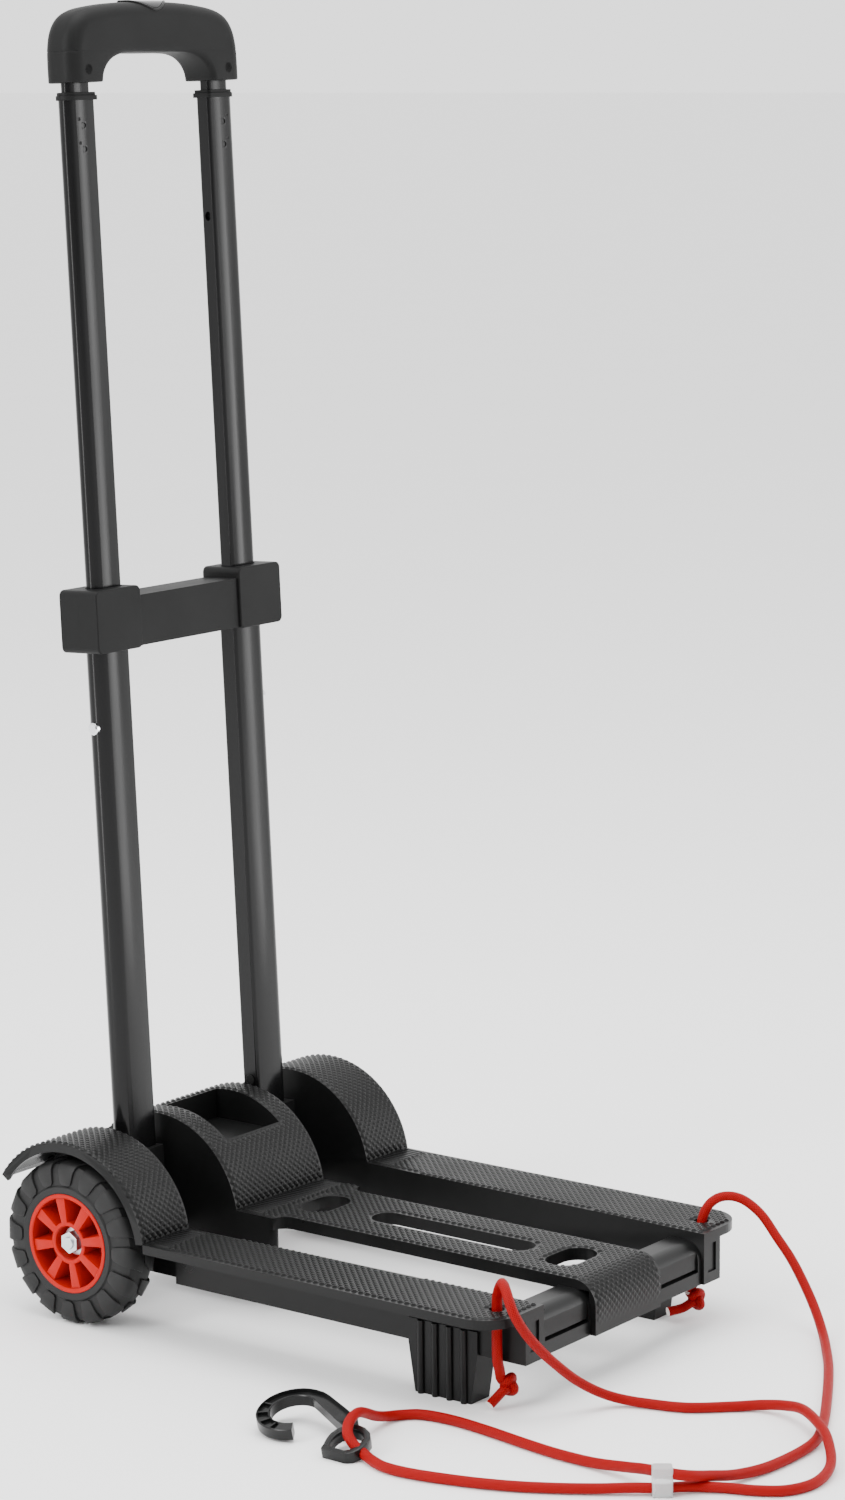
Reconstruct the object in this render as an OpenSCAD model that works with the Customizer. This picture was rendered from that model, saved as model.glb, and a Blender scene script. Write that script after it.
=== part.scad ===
/* [Mast] */
// Distance between the two mast tubes, centre to centre
tube_spacing = 138; // [134:1:144]
// Backward lean of the raised mast, in degrees
mast_lean = 2.6; // [0:0.2:5]
// Top end of the lower tubes above the axle, along the mast
lower_top = 418; // [380:1:460]
// Top end of the middle tubes above the axle, along the mast
middle_top = 734; // [690:1:760]
// Travel of the inner stage when the grip is pulled out
grip_travel = 130; // [80:5:140]
// Travel of the middle stage when the mast is pushed in
middle_travel = 215; // [120:5:220]
// Lower tube, width across
lower_w = 31; // [28:0.5:32]
// Lower tube, depth
lower_d = 16.2; // [15:0.2:18]
// Wall of every mast tube
tube_wall = 1.2; // [1:0.1:1.6]

/* [Grip] */
// Height of the grip bar at its middle
grip_bar_h = 34; // [28:1:40]
// Depth of the grip, front to back
grip_d = 27; // [24:1:32]
// Width of one grip leg
grip_leg_w = 31; // [28:1:34]
// Travel of the release button
button_travel = 4; // [2:0.5:5]

/* [Wheels] */
// Wheel radius
wheel_r = 55; // [50:1:60]
// Tyre width
tyre_w = 30; // [24:1:32]
// Radius of the hub where the tyre sits
hub_r = 33; // [28:1:38]
// Diameter of the axle
axle_dia = 8; // [6:0.5:10]

/* [Deck] */
// Half of the overall width
half_width = 140; // [138:1:150]
// Reach of the deck in front of the axle
deck_reach = 345; // [300:1:380]
// Height of the deck top above the axle
deck_rise = 11; // [8:1:16]
// Half of the gap between the side rails at the fenders
rail_inner_rear = 94; // [93:0.5:96]
// Half of the gap between the side rails at the front
rail_inner_front = 89; // [86:0.5:93]
// Outer radius of the fenders and the hump, about the axle
fender_r = 67; // [64:1:74]
// Angle above level at which the fenders end behind the axle
fender_end = 34; // [20:1:50]
// Half width of the centre hump
hump_half = 46; // [44:0.5:48]
// Half width of the deck tongue
tongue_half = 36.5; // [32:0.5:42]
// Depth of the deck frame from its top
frame_h = 34; // [28:1:38]
// Thickness of the moulded plates
plate_t = 3; // [2:0.5:4]
// Diameter of the elastic cord
cord_dia = 6.5; // [5:0.5:8]

/* [Hidden] */
$fn = 48;

black = "#2b2c2d";
satin_black = "#1b1c1d";
dark_grey = "#4a4c4e";
steel = "#c9ccd0";
red = "#e8262a";

// Clearances
touch = 0.3;
run_fit = 0.05;
slip = 0.4;
eps = 0.01;

// Places that follow from the driving sizes
axle_r = axle_dia / 2;
wrap_t = 2;
front_reach = deck_reach + wrap_t;
rear_reach = max(fender_r * cos(fender_end), wheel_r);
axle_y = (front_reach - rear_reach) / 2;
deck_top = wheel_r + deck_rise;
frame_bottom = deck_top - frame_h;
fold_y = -sqrt(fender_r * fender_r - deck_rise * deck_rise);
fold_angle = 180 - asin(deck_rise / fender_r);
tube_x = tube_spacing / 2;

// Side rail
wall_t = 2.5;
box_outer = 108;
lip_t = 2.6;
lip_h = 6;
tip_r = 25;
gusset_pitch = 35;
gusset_count = 6;
gusset_drop = 15;
gusset_t = 2.5;
boss_r = 12;
boss_end = 107;
cord_hole_r = 5;
cord_hole_x = 113;
cord_hole_y = -deck_reach + 18;

// Front bar
bar_depth = 26;
bar_top = deck_top - 6;
bar_r = 12;
recess_end = 4;

// Hump
pocket_half = 27.5;
pocket_front = -43;
pocket_back = 12;
pocket_floor = 46;
hump_front = fold_y - 31;
skirt_h = 8;

// Rear bar, the stop that the raised mast rests against
rear_bar_r = 6.5;
rear_bar_z = 22;
shoe_back = 15;
rear_bar_y = shoe_back * cos(mast_lean) + rear_bar_z * sin(mast_lean) + rear_bar_r + touch;

// Wheels
wheel_in = half_width - tyre_w;
hub_face = half_width - 1;
recess_r = 11;
recess_floor = half_width - 11;
bush_wall = 2.5;
hub_bore_r = axle_r + run_fit + bush_wall;
washer_t = 1.6;
nut_h = 6.5;
axle_end = recess_floor + touch + washer_t + nut_h + 1.5;

// Mast sections: each stage slides in the one below
middle_w = lower_w - 2 * tube_wall - 2.6;
middle_d = lower_d - 2 * tube_wall - 2 * slip;
inner_w = middle_w - 2 * tube_wall - 2.6;
inner_d = middle_d - 2 * tube_wall - 2 * slip;
shoe_top = 48;
shoe_plug_top = 90;
shoe_half = 17;
shoe_depth = 11;
shoe_r = 15;
middle_bottom = lower_top - 100;
latch_z = middle_bottom + 13;
inner_bottom = middle_top - grip_travel - 94;
rivet_z = 68;
lock_pin_z = inner_bottom + 16;
lock_hole_z = lock_pin_z + grip_travel;

// Bracket
bracket_bottom = lower_top - 37;
bracket_top = lower_top + 4;
bracket_out = lower_w / 2 + 9;
bracket_in = lower_w / 2 + 3.5;
bracket_half_d = 16;
bar_low = 1;
bar_high = 33;

// Grip
collar_h = 5;
grip_foot = middle_top + collar_h + 6;
grip_top = grip_foot + 52;
grip_half = tube_x + grip_leg_w / 2;
grip_arch = grip_top - grip_bar_h;
grip_round = 11;
button_half = 22;
button_d = 15;
plug_h = 24;

// ---------- helpers ----------

// Everything on the base is placed from the axle's middle
module from_axle() {
    translate([0, axle_y, wheel_r]) children();
}

// As from_axle, but heights count from the floor
module above_axle() {
    translate([0, axle_y, 0]) children();
}

// The raised mast, its Z along the tubes
module on_mast() {
    from_axle() rotate([-mast_lean, 0, 0]) children();
}

// Draws a (Y, Z) outline between two X values
module across(x0, x1) {
    translate([x0, 0, 0]) rotate([90, 0, 90]) linear_extrude(x1 - x0) children();
}

// Draws an (X, Z) outline between two Y values
module along(y0, y1) {
    translate([0, y1, 0]) rotate([90, 0, 0]) linear_extrude(y1 - y0) children();
}

module left_half() {
    mirror([1, 0, 0]) children();
}

module both_sides() {
    children();
    mirror([1, 0, 0]) children();
}

// Rod along X
module rod_x(x0, x1, r) {
    translate([x0, 0, 0]) rotate([0, 90, 0]) cylinder(h = x1 - x0, r = r);
}

// Sector of the disc about the axle, from the fender's rear end to the fold
module fender_sector(a0 = fender_end, a1 = fold_angle) {
    far = 3 * fender_r;
    step = (a1 - a0) / 3;
    polygon([[0, 0], for (k = [0:3]) far * [cos(a0 + k * step), sin(a0 + k * step)]]);
}

// Side wall outline behind the fold: under the arc and down to the frame's bottom
module wheel_wall_outline(front) {
    low = frame_bottom - wheel_r;
    end_y = fender_r * cos(fender_end);
    end_z = fender_r * sin(fender_end);
    intersection() {
        union() {
            circle(fender_r, $fn = 96);
            translate([front, low]) square([-front, deck_rise - low]);
        }
        polygon([[front, low], [34, low], [end_y, end_z], [end_y, 80], [front, 80]]);
    }
}

// ---------- base ----------

// Plan of the side rail's plate, shrunk at its free edges by inset
module rail_plan(inset = 0) {
    r = tip_r - inset;
    x_out = half_width - inset;
    y_front = -deck_reach + inset;
    difference() {
        polygon([[rail_inner_rear + inset, fold_y], [x_out, fold_y], [x_out, y_front],
            [rail_inner_front + inset, y_front]]);
        translate([x_out - r, y_front]) difference() {
            translate([0, -1]) square([r + 1, r + 1]);
            translate([0, r]) circle(r);
        }
    }
}

module rail_box_plan(inset = 0) {
    polygon([[rail_inner_rear + inset, fold_y], [box_outer - inset, fold_y],
        [box_outer - inset, -deck_reach + inset], [rail_inner_front + inset, -deck_reach + inset]]);
}

module gusset(y) {
    translate([0, y, 0]) along(0, gusset_t) polygon([[box_outer - eps, deck_top - plate_t + eps],
        [half_width - lip_t / 2, deck_top - plate_t + eps], [half_width - lip_t / 2, deck_top - lip_h],
        [box_outer - eps, deck_top - plate_t - gusset_drop]]);
}

module side_rail() {
    color(black) above_axle() difference() {
        union() {
            translate([0, 0, deck_top - plate_t]) linear_extrude(plate_t) rail_plan();
            translate([0, 0, deck_top - lip_h]) linear_extrude(lip_h) difference() {
                rail_plan();
                rail_plan(lip_t);
                translate([0, fold_y - lip_t]) square([half_width - lip_t, lip_t + 1]);
            }
            difference() {
                translate([0, 0, frame_bottom]) linear_extrude(frame_h) rail_box_plan();
                translate([0, 0, frame_bottom + wall_t]) linear_extrude(frame_h - 2 * wall_t)
                    rail_box_plan(wall_t);
            }
            for (k = [0:gusset_count - 1]) gusset(fold_y - 44 - k * gusset_pitch);
            translate([0, 0, wheel_r]) {
                across(rail_inner_rear, half_width) difference() {
                    intersection() {
                        circle(fender_r, $fn = 96);
                        fender_sector();
                    }
                    circle(fender_r - plate_t, $fn = 96);
                }
                across(half_width - lip_t, half_width) difference() {
                    intersection() {
                        circle(fender_r, $fn = 96);
                        fender_sector();
                    }
                    circle(fender_r - lip_h, $fn = 96);
                }
                across(rail_inner_rear, rail_inner_rear + plate_t) wheel_wall_outline(fold_y);
                rod_x(rail_inner_rear, boss_end, boss_r);
            }
        }
        translate([0, 0, wheel_r]) rod_x(rail_inner_rear - 1, boss_end + 1, axle_r + run_fit);
        translate([0, rear_bar_y, wheel_r + rear_bar_z])
            rod_x(rail_inner_rear - 1, rail_inner_rear + plate_t + 1, 2.2);
        translate([cord_hole_x, cord_hole_y, frame_bottom]) cylinder(h = frame_h + 1, r = cord_hole_r);
        translate([rail_inner_front + 5, -deck_reach - 1, frame_bottom + 7])
            cube([box_outer - rail_inner_front - 10, 1 + wall_t / 2, frame_h - 15]);
    }
}

module side_rail_right() { side_rail(); }
module side_rail_left() { left_half() side_rail(); }

// Plan of the tongue, with its flare into the hump
module tongue_plan(inset = 0) {
    r = hump_half - tongue_half;
    for (s = [0, 1]) mirror([s, 0]) {
        translate([0, -deck_reach + bar_depth])
            square([tongue_half - inset, deck_reach - bar_depth + fold_y]);
        translate([0, hump_front]) square([hump_half - inset, fold_y - hump_front]);
        difference() {
            translate([tongue_half - inset - eps, hump_front - r]) square([r + eps, r + eps]);
            translate([hump_half - inset, hump_front - r]) circle(r);
        }
    }
}

module deck_oval(y) {
    oval_half = 20;
    r = 12;
    translate([0, y]) {
        square([2 * (oval_half - r), 2 * r], center = true);
        translate([oval_half - r, 0]) circle(r);
        translate([-oval_half + r, 0]) circle(r);
    }
}

module deck_slot(half_w, y0, y1) {
    translate([-half_w, y0 + half_w]) square([2 * half_w, y1 - y0 - 2 * half_w]);
    translate([0, y0 + half_w]) circle(half_w);
    translate([0, y1 - half_w]) circle(half_w);
}

oval_rear_y = fold_y - 38;
oval_front_y = -deck_reach + 42;
slot_half = 11;
slot_rear = fold_y - 80;
slot_front = -deck_reach + 72;

module tongue_holes() {
        deck_slot(slot_half, slot_front, slot_rear);
    for (y = [oval_rear_y, oval_front_y]) {
        deck_oval(y);
    }
}

// Outline of the front bar and, with grow, of what wraps over it
module bar_outline(grow_front, grow_top) {
    y0 = -deck_reach + wrap_t - grow_front;
    z1 = bar_top + grow_top;
    r = bar_r + min(grow_front, grow_top);
    difference() {
        translate([y0, frame_bottom]) square([bar_depth - wrap_t + grow_front, z1 - frame_bottom]);
        translate([y0, z1 - r]) difference() {
            translate([-1, 0]) square([r + 1, r + 1]);
            translate([r, 0]) circle(r);
        }
    }
}

module centre_deck() {
    color(black) above_axle() difference() {
        union() {
            // Tongue: plate, skirt and the frames round its holes
            translate([0, 0, deck_top - plate_t]) linear_extrude(plate_t) tongue_plan();
            translate([0, 0, deck_top - skirt_h]) linear_extrude(skirt_h) difference() {
                tongue_plan();
                tongue_plan(wall_t);
            }
            translate([0, 0, deck_top - skirt_h]) linear_extrude(skirt_h - plate_t + eps)
                deck_slot(slot_half + 2, slot_front - 2, slot_rear + 2);
            for (y = [oval_rear_y, oval_front_y])
                translate([0, 0, deck_top - skirt_h]) linear_extrude(skirt_h - plate_t + eps)
                    translate([0, y]) square([2 * tongue_half - 1, 28], center = true);
            // Wrap over the front bar
            across(-tongue_half, tongue_half) difference() {
                bar_outline(wrap_t + wrap_t, deck_top - bar_top);
                bar_outline(0, 0);
                translate([-deck_reach + wrap_t + 1, 0]) square([bar_depth + 1, bar_top]);
            }
            // Rounded posts where the hump's walls end
            both_sides() translate([hump_half - 4, hump_front + 4, frame_bottom + 6])
                cylinder(h = frame_h - 6 - 1, r = 4);
            // Hump
            translate([0, 0, wheel_r]) {
                across(-hump_half, hump_half) difference() {
                    intersection() {
                        circle(fender_r, $fn = 96);
                        fender_sector();
                    }
                    circle(fender_r - plate_t, $fn = 96);
                }
                both_sides() across(hump_half - wall_t, hump_half) {
                    wheel_wall_outline(fold_y);
                    translate([hump_front + 4, frame_bottom - wheel_r + 6])
                        square([fold_y - hump_front - 4 + eps, frame_h - 6]);
                }
                both_sides() rod_x(hump_half - 10, hump_half, boss_r);
                intersection() {
                    across(-pocket_half - 2, pocket_half + 2) circle(fender_r, $fn = 96);
                    translate([-pocket_half - 2, pocket_front - 12, pocket_floor - 2.5])
                        cube([2 * pocket_half + 4, pocket_back - pocket_front + 14, fender_r]);
                }
            }
        }
        // Pocket in the top of the hump
        translate([-pocket_half, pocket_front, wheel_r + pocket_floor])
            cube([2 * pocket_half, pocket_back - pocket_front, fender_r]);
        translate([0, 0, deck_top - skirt_h - 1]) linear_extrude(skirt_h + 2) tongue_holes();
        translate([0, 0, wheel_r]) {
            rod_x(-hump_half - 1, hump_half + 1, axle_r + run_fit);
            translate([0, rear_bar_y, rear_bar_z]) rod_x(-hump_half - 1, hump_half + 1, rear_bar_r + run_fit);
        }
    }
}

module front_bar() {
    panel_z = frame_bottom + 9;
    color(black) above_axle() difference() {
        across(-rail_inner_front, rail_inner_front) bar_outline(0, 0);
        both_sides() {
            translate([tongue_half + 2, -deck_reach, panel_z + 2])
                cube([rail_inner_front - tongue_half - 2 - recess_end, wrap_t + 1.4, 12]);
            translate([tongue_half + 2, -deck_reach, panel_z])
                cube([rail_inner_front - tongue_half - 2 - recess_end, wrap_t + 6, 2 + eps]);
        }
        across(-rail_inner_front + 6, rail_inner_front - 6)
            translate([-deck_reach + wrap_t + 10, frame_bottom - 1]) square([bar_depth - wrap_t - 13, 23]);
        screw_places() translate([0, 0, -eps]) cylinder(h = 40, r = 1.7);
    }
}

// The rear bar is turned down at its ends to pass the side rails' walls
module rear_bar() {
    color(steel) from_axle() translate([0, rear_bar_y, rear_bar_z]) {
        rod_x(-rail_inner_rear, rail_inner_rear, rear_bar_r);
        both_sides() rod_x(rail_inner_rear - eps, rail_inner_rear + plate_t + 3, 2.1);
    }
}

foot_front = -deck_reach + 40;
foot_len = 43;
foot_w = 17;

module foot() {
    x0 = box_outer - foot_w;
    rib_r = 2.2;
    color(black) above_axle() {
        across(x0, box_outer + 2) polygon([[foot_front - 5, frame_bottom], [foot_front, 0],
            [foot_front + foot_len, 0], [foot_front + foot_len + 5, frame_bottom]]);
        translate([box_outer, foot_front - 5, frame_bottom - eps])
            cube([2, foot_len + 10, frame_h - plate_t - gusset_drop - 1]);
        for (k = [0:3]) translate([box_outer + 2.4, foot_front + 5 + k * 11, 0])
            cylinder(h = frame_bottom + frame_h - plate_t - gusset_drop - 1, r = rib_r);
    }
}

module foot_right() { foot(); }
module foot_left() { left_half() foot(); }

module axle() {
    color(steel) from_axle() rod_x(-axle_end, axle_end, axle_r);
}

module ring_x(x, t, r_in, r_out) {
    translate([x, 0, 0]) rotate([0, 90, 0]) difference() {
        cylinder(h = t, r = r_out);
        translate([0, 0, -1]) cylinder(h = t + 2, r = r_in);
    }
}

module axle_washers() {
    color(steel) from_axle() both_sides() {
        ring_x(boss_end + touch / 2, washer_t, axle_r + run_fit, 9);
        ring_x(recess_floor + touch, washer_t, axle_r + run_fit, 9.5);
    }
}

// Hexagon nuts threaded on the axle
module axle_nuts() {
    color(steel) from_axle() both_sides()
        translate([recess_floor + touch + washer_t, 0, 0]) rotate([0, 90, 0]) difference() {
            cylinder(h = nut_h, r = 7.5, $fn = 6);
            translate([0, 0, -1]) cylinder(h = nut_h + 2, r = axle_r);
        }
}

module axle_spacers() {
    color(steel) from_axle() both_sides() {
        ring_x(hump_half, tube_x - shoe_half - hump_half - touch / 2, axle_r + run_fit, 7.5);
        ring_x(tube_x + shoe_half + touch / 2, rail_inner_rear - tube_x - shoe_half - touch / 2,
            axle_r + run_fit, 7.5);
    }
}

// Where the wrap's screws go, on the underside of the front bar
module screw_places() {
    for (s = [-1, 1]) translate([s * 24, -deck_reach + wrap_t + 6, frame_bottom]) children();
}

module wrap_screws() {
    color(steel) above_axle() screw_places() {
        cylinder(h = 14, r = 1.65);
        translate([0, 0, -2]) cylinder(h = 2, r = 3.4);
    }
}

// ---------- elastic cord ----------

cord_r = cord_dia / 2;

// Route of the cord from its left knot to its right knot, in the model's frame
CORD = [
    [-106, -179, 20], [-109.5, -180.5, 27], [-113, -181.5, 37], [-113, -181.5, 66],
    [-113.6, -182.5, 76], [-118.5, -189.5, 85.3], [-127, -198.5, 84.5], [-131, -206.5, 74],
    [-123.5, -210, 59.7], [-110.5, -213, 44.8], [-98.6, -216.5, 33.1], [-85.5, -221, 21.4],
    [-71.5, -227.5, 11.5], [-60, -236, 5.5], [-52.5, -251, 3.4], [-44.5, -275, 3.4],
    [-26, -297, 3.4], [-17, -310, 4.4], [-17, -327, 7.5], [-26, -346, 11.2], [-45, -370, 11],
    [-62, -386, 8], [-84, -400, 4.8], [-108, -405, 3.4], [-128, -399, 3.4], [-139, -385, 3.4],
    [-147, -366, 3.4], [-158, -350, 3.8], [-170, -340, 4.4], [-180, -325, 4.2], [-191, -309, 3.6],
    [-203, -290, 3.4], [-214, -270, 3.4], [-223, -248, 3.4], [-230, -224, 3.4], [-234, -204, 3.4],
    [-234, -188, 3.4], [-230, -176, 3.5], [-226.5, -167, 4.6], [-226, -159.5, 8.2],
    [-224.5, -153.5, 13], [-219, -149.5, 17], [-211, -147, 19.2], [-202, -144.8, 18.6],
    [-192, -142.2, 14.6], [-181, -139.8, 9.4], [-169, -138.4, 5.2], [-158, -141, 3.4],
    [-150, -150, 3.4], [-147, -164, 3.4], [-147, -182, 3.4], [-150, -207, 3.4], [-154, -232, 3.4],
    [-157, -258, 3.4], [-158, -284, 4], [-160, -306, 7], [-165, -324, 11], [-169, -340, 13.6],
    [-162.5, -352, 12.4], [-147, -357.5, 8.8], [-126, -364, 4.8], [-98, -370, 3.4],
    [-56, -370, 3.4], [-24, -358, 3.4], [24, -332, 3.4], [68, -306, 3.4], [95, -288, 4],
    [115, -273, 7], [128, -259, 17], [134, -247, 30], [136, -236, 44], [135.5, -225, 57],
    [135, -212.5, 71], [131.5, -199.5, 79.6], [124.5, -189, 80.5], [117, -183, 74], [113, -181, 60],
    [113, -181, 37], [109, -179, 26], [105, -177, 19],
];

function pick(p, i) = p[max(0, min(len(p) - 1, i))];
function unit(v) = v / norm(v);

// One ring of cord_sides corners round each point of the route
cord_sides = 8;
function tangent(p, i) = unit(pick(p, i + 1) - pick(p, i - 1));
function side_of(t) = unit(cross(t, abs(t[2]) > 0.75 ? [0.6, -0.8, 0] : [0, 0, 1]));
function carried(p, i, s) = i >= len(p) ? []
    : concat([s], carried(p, i + 1, next_side(p, i + 1, s)));
function next_side(p, i, s) = i >= len(p) ? s
    : let (t = tangent(p, i)) unit(s - (s * t) * t);

module cord_tube(p, r) {
    sides = carried(p, 0, side_of(tangent(p, 0)));
    points = [for (i = [0:len(p) - 1], k = [0:cord_sides - 1])
        let (t = tangent(p, i), s = sides[i], u = cross(t, s), a = 360 * k / cord_sides)
        p[i] + r * (cos(a) * s + sin(a) * u)];
    n = cord_sides;
    last = (len(p) - 1) * n;
    polyhedron(points, concat(
        [[for (k = [0:n - 1]) n - 1 - k]],
        [for (i = [0:len(p) - 2], k = [0:n - 1])
            [i * n + k, i * n + (k + 1) % n, (i + 1) * n + (k + 1) % n, (i + 1) * n + k]],
        [[for (k = [0:n - 1]) last + k]]));
}

module bungee_cord() {
    color(red) cord_tube(CORD, cord_r);
}

// A knot: the cord wound once round itself, with its tail
module knot(p, tail) {
    color(red) translate(p) {
        rotate([20, 10, 0]) rotate_extrude() translate([cord_r + 1.2, 0]) circle(cord_r);
        rotate(tail) translate([cord_r + 1.2, 0, 0]) rotate([0, 90, 0]) cylinder(h = 14, r = cord_r);
        sphere(cord_r + 0.6);
    }
}

module cord_knot_left() { knot(CORD[0] - [0, 0, 4.6], [0, 28, -110]); }
module cord_knot_right() { knot(CORD[len(CORD) - 1] - [0, 0, 4.6], [0, 8, 200]); }

// The hook lies on the floor on its near edge, its far edge held up by the cord
hook_place = [-209, -101.3, 7.1];
hook_tilt = 14.5;
tilt_axis = [0.061, -0.998, 0];
hook_t = 7.5;
hook_ring_r = 23.4;
hook_ring_in = 14.8;
eye_centre = [-13.5, -50];
eye_r = 15;
eye_in = 10;

// Flat hook: an open ring, a straight shank and the D-shaped eye that the cord runs through
module hook_plan() {
    difference() {
        circle(hook_ring_r);
        circle(hook_ring_in);
        polygon([[0, 0], 60 * [cos(-145), sin(-145)], [0, -90], 60 * [cos(-57), sin(-57)]]);
    }
    difference() {
        union() {
            polygon([[22.8, -4.8], [8.6, -37.2], [1.2, -49], [-3, -38], [7.8, -12.6], [13, -7]]);
            translate(eye_centre) circle(eye_r);
            polygon([[-28, -41.5], [-28, -58.5], [-20, -60], [-18, -40]]);
        }
        translate(eye_centre) circle(eye_in);
    }
}

module cord_hook() {
    color(satin_black) difference() {
        translate(hook_place) rotate(a = hook_tilt, v = tilt_axis) linear_extrude(hook_t) hook_plan();
        // Saddle under the near wall of the eye, where the cord leaves
        hull() for (p = [[-226, -161, 6.2], [-229.5, -175, 3.4]]) translate(p) sphere(cord_r + 0.3, $fn = 24);
    }
}

// The clip that holds the two strands one over the other
clip_size = [12, 10, 18];

module cord_clip() {
    color("#d8dcdc", 0.6) translate([-170, -340, clip_size[2] / 2]) rotate([0, 0, -53])
        cube(clip_size, center = true);
}

// ---------- mast ----------

// Tube section: flat on its inner side, round on its outer side (X outwards)
module tube_section(w, d) {
    corner = 2.2;
    translate([w / 2 - d / 2, 0]) circle(d / 2);
    translate([-w / 2 + corner, -d / 2]) square([w - corner - d / 2, d]);
    translate([-w / 2, -d / 2 + corner]) square([corner + eps, d - 2 * corner]);
    for (s = [-1, 1]) translate([-w / 2 + corner, s * (d / 2 - corner)]) circle(corner);
}

module tube(w, d, z0, z1) {
    translate([tube_x, 0, z0]) linear_extrude(z1 - z0) difference() {
        tube_section(w, d);
        tube_section(w - 2 * tube_wall, d - 2 * tube_wall);
    }
}

// A small hole through one face of a tube, along X
module side_hole(x0, x1, z, r) {
    translate([0, 0, z]) rod_x(x0, x1, r);
}

module shoe() {
    color(black) on_mast() difference() {
        union() {
            rod_x(tube_x - shoe_half, tube_x + shoe_half, shoe_r);
            translate([tube_x - shoe_half, -shoe_depth, 0])
                cube([2 * shoe_half, shoe_depth + shoe_back, shoe_top]);
            translate([tube_x, 0, shoe_top - eps]) linear_extrude(shoe_plug_top - shoe_top)
                tube_section(lower_w - 2 * tube_wall - 0.2, lower_d - 2 * tube_wall - 0.2);
        }
        rod_x(tube_x - shoe_half - 1, tube_x + shoe_half + 1, axle_r + run_fit);
        side_hole(tube_x - lower_w, tube_x - 2, rivet_z, 1.9);
    }
}

module shoe_right() { shoe(); }
module shoe_left() { left_half() shoe(); }

module lower_tube() {
    color(satin_black) on_mast() difference() {
        tube(lower_w, lower_d, shoe_top, lower_top);
        side_hole(tube_x + lower_w / 2 - 4, tube_x + lower_w, latch_z, latch_r + touch / 2);
        side_hole(tube_x - lower_w, tube_x - 2, rivet_z, 1.95);
    }
}

module lower_tube_right() { lower_tube(); }
module lower_tube_left() { left_half() lower_tube(); }

module shoe_rivets() {
    color(dark_grey) on_mast() both_sides() translate([0, 0, rivet_z]) {
        rod_x(tube_x - lower_w / 2 - 1.2, tube_x - lower_w / 2, 3.6);
        rod_x(tube_x - lower_w / 2 - eps, tube_x - lower_w / 2 + 9, 1.85);
    }
}

// Outline of the bracket in the mast's (X, Z) plane
module bracket_outline(shrink = 0) {
    z0 = bracket_bottom + shrink;
    z1 = bracket_top - shrink;
    r = 4;
    for (s = [0, 1]) mirror([s, 0]) {
        x0 = tube_x - bracket_in + shrink;
        x1 = tube_x + bracket_out - shrink;
        translate([x0, z0 + r]) square([x1 - x0, z1 - z0 - 2 * r]);
        translate([x0 + r, z0]) square([x1 - x0 - 2 * r, z1 - z0]);
        for (x = [x0 + r, x1 - r], z = [z0 + r, z1 - r]) translate([x, z]) circle(r);
    }
    translate([-tube_x, z0 + bar_low]) square([2 * tube_x, bar_high - 2 * shrink]);
}

module bracket_shell(front) {
    y0 = front ? -bracket_half_d : 0;
    y1 = front ? 0 : bracket_half_d;
    wall = 2.5;
    color(black) on_mast() difference() {
        along(y0, y1) bracket_outline();
        // Hollow crossbar between the two housings
        along(y0 + (front ? wall : 0), y1 - (front ? 0 : wall))
            translate([-tube_x + bracket_in + wall, bracket_bottom + bar_low + wall])
                square([2 * (tube_x - bracket_in - wall), bar_high - 2 * wall]);
        // The bar's face is set back from the housings
        start_y = front ? -bracket_half_d - 1 : bracket_half_d - 2;
        translate([-tube_x + bracket_in, start_y, bracket_bottom - 1])
            cube([2 * (tube_x - bracket_in), 3, bracket_top - bracket_bottom + 2]);
        // Seats of the lower tubes and openings for the middle tubes
        for (s = [0, 1]) mirror([s, 0, 0]) {
            translate([tube_x, 0, bracket_bottom - 1]) linear_extrude(lower_top - bracket_bottom + 1 + touch)
                tube_section(lower_w + 0.1, lower_d + 0.1);
            translate([tube_x, 0, lower_top]) linear_extrude(bracket_top - lower_top + 1)
                tube_section(middle_w + 2 * slip, middle_d + 2 * slip);
        }
        bracket_screw_places() {
            translate([0, -bracket_half_d + 5.8, 0])
                rotate([-90, 0, 0])
                    cylinder(h = 2 * bracket_half_d - 7, r = 1.65);
            translate([0, bracket_half_d - 6, 0]) rotate([-90, 0, 0]) cylinder(h = 9, r = 3.3);
        }
    }
}

module bracket_screw_places() {
    z = bracket_bottom + bar_low + bar_high / 2;
    for (x = [-1, 1]) translate([x * (tube_x - bracket_in - 1), 0, z]) children();
    for (x = [-1, 1]) translate([x * (tube_x + bracket_out - 4), 0, z]) children();
}

module bracket_front() { bracket_shell(true); }
module bracket_rear() { bracket_shell(false); }

module bracket_screws() {
    color(steel) on_mast() bracket_screw_places() {
        translate([0, -bracket_half_d + 6, 0])
            rotate([-90, 0, 0])
                cylinder(h = 2 * bracket_half_d - 12, r = 1.6);
        translate([0, bracket_half_d - 6, 0]) rotate([-90, 0, 0]) cylinder(h = 2.4, r = 3.2);
    }
}

// Latch buttons: a round cap in the lower tube's wall, over the latch in the middle tube
latch_r = 4;
latch_proud = 2.2;
latch_travel = 3;

module latch_button() {
    color(steel) on_mast() translate([0, 0, latch_z]) {
        x_wall = tube_x + lower_w / 2;
        rod_x(x_wall - tube_wall + 0.1, x_wall + latch_proud - 1, latch_r);
        translate([x_wall + latch_proud - 1 - eps, 0, 0]) rotate([0, 90, 0])
            cylinder(h = 1, r1 = latch_r, r2 = latch_r - 1, $fn = 48);
    }
}

module latch_button_right() { latch_button(); }
module latch_button_left() { left_half() latch_button(); }

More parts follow.
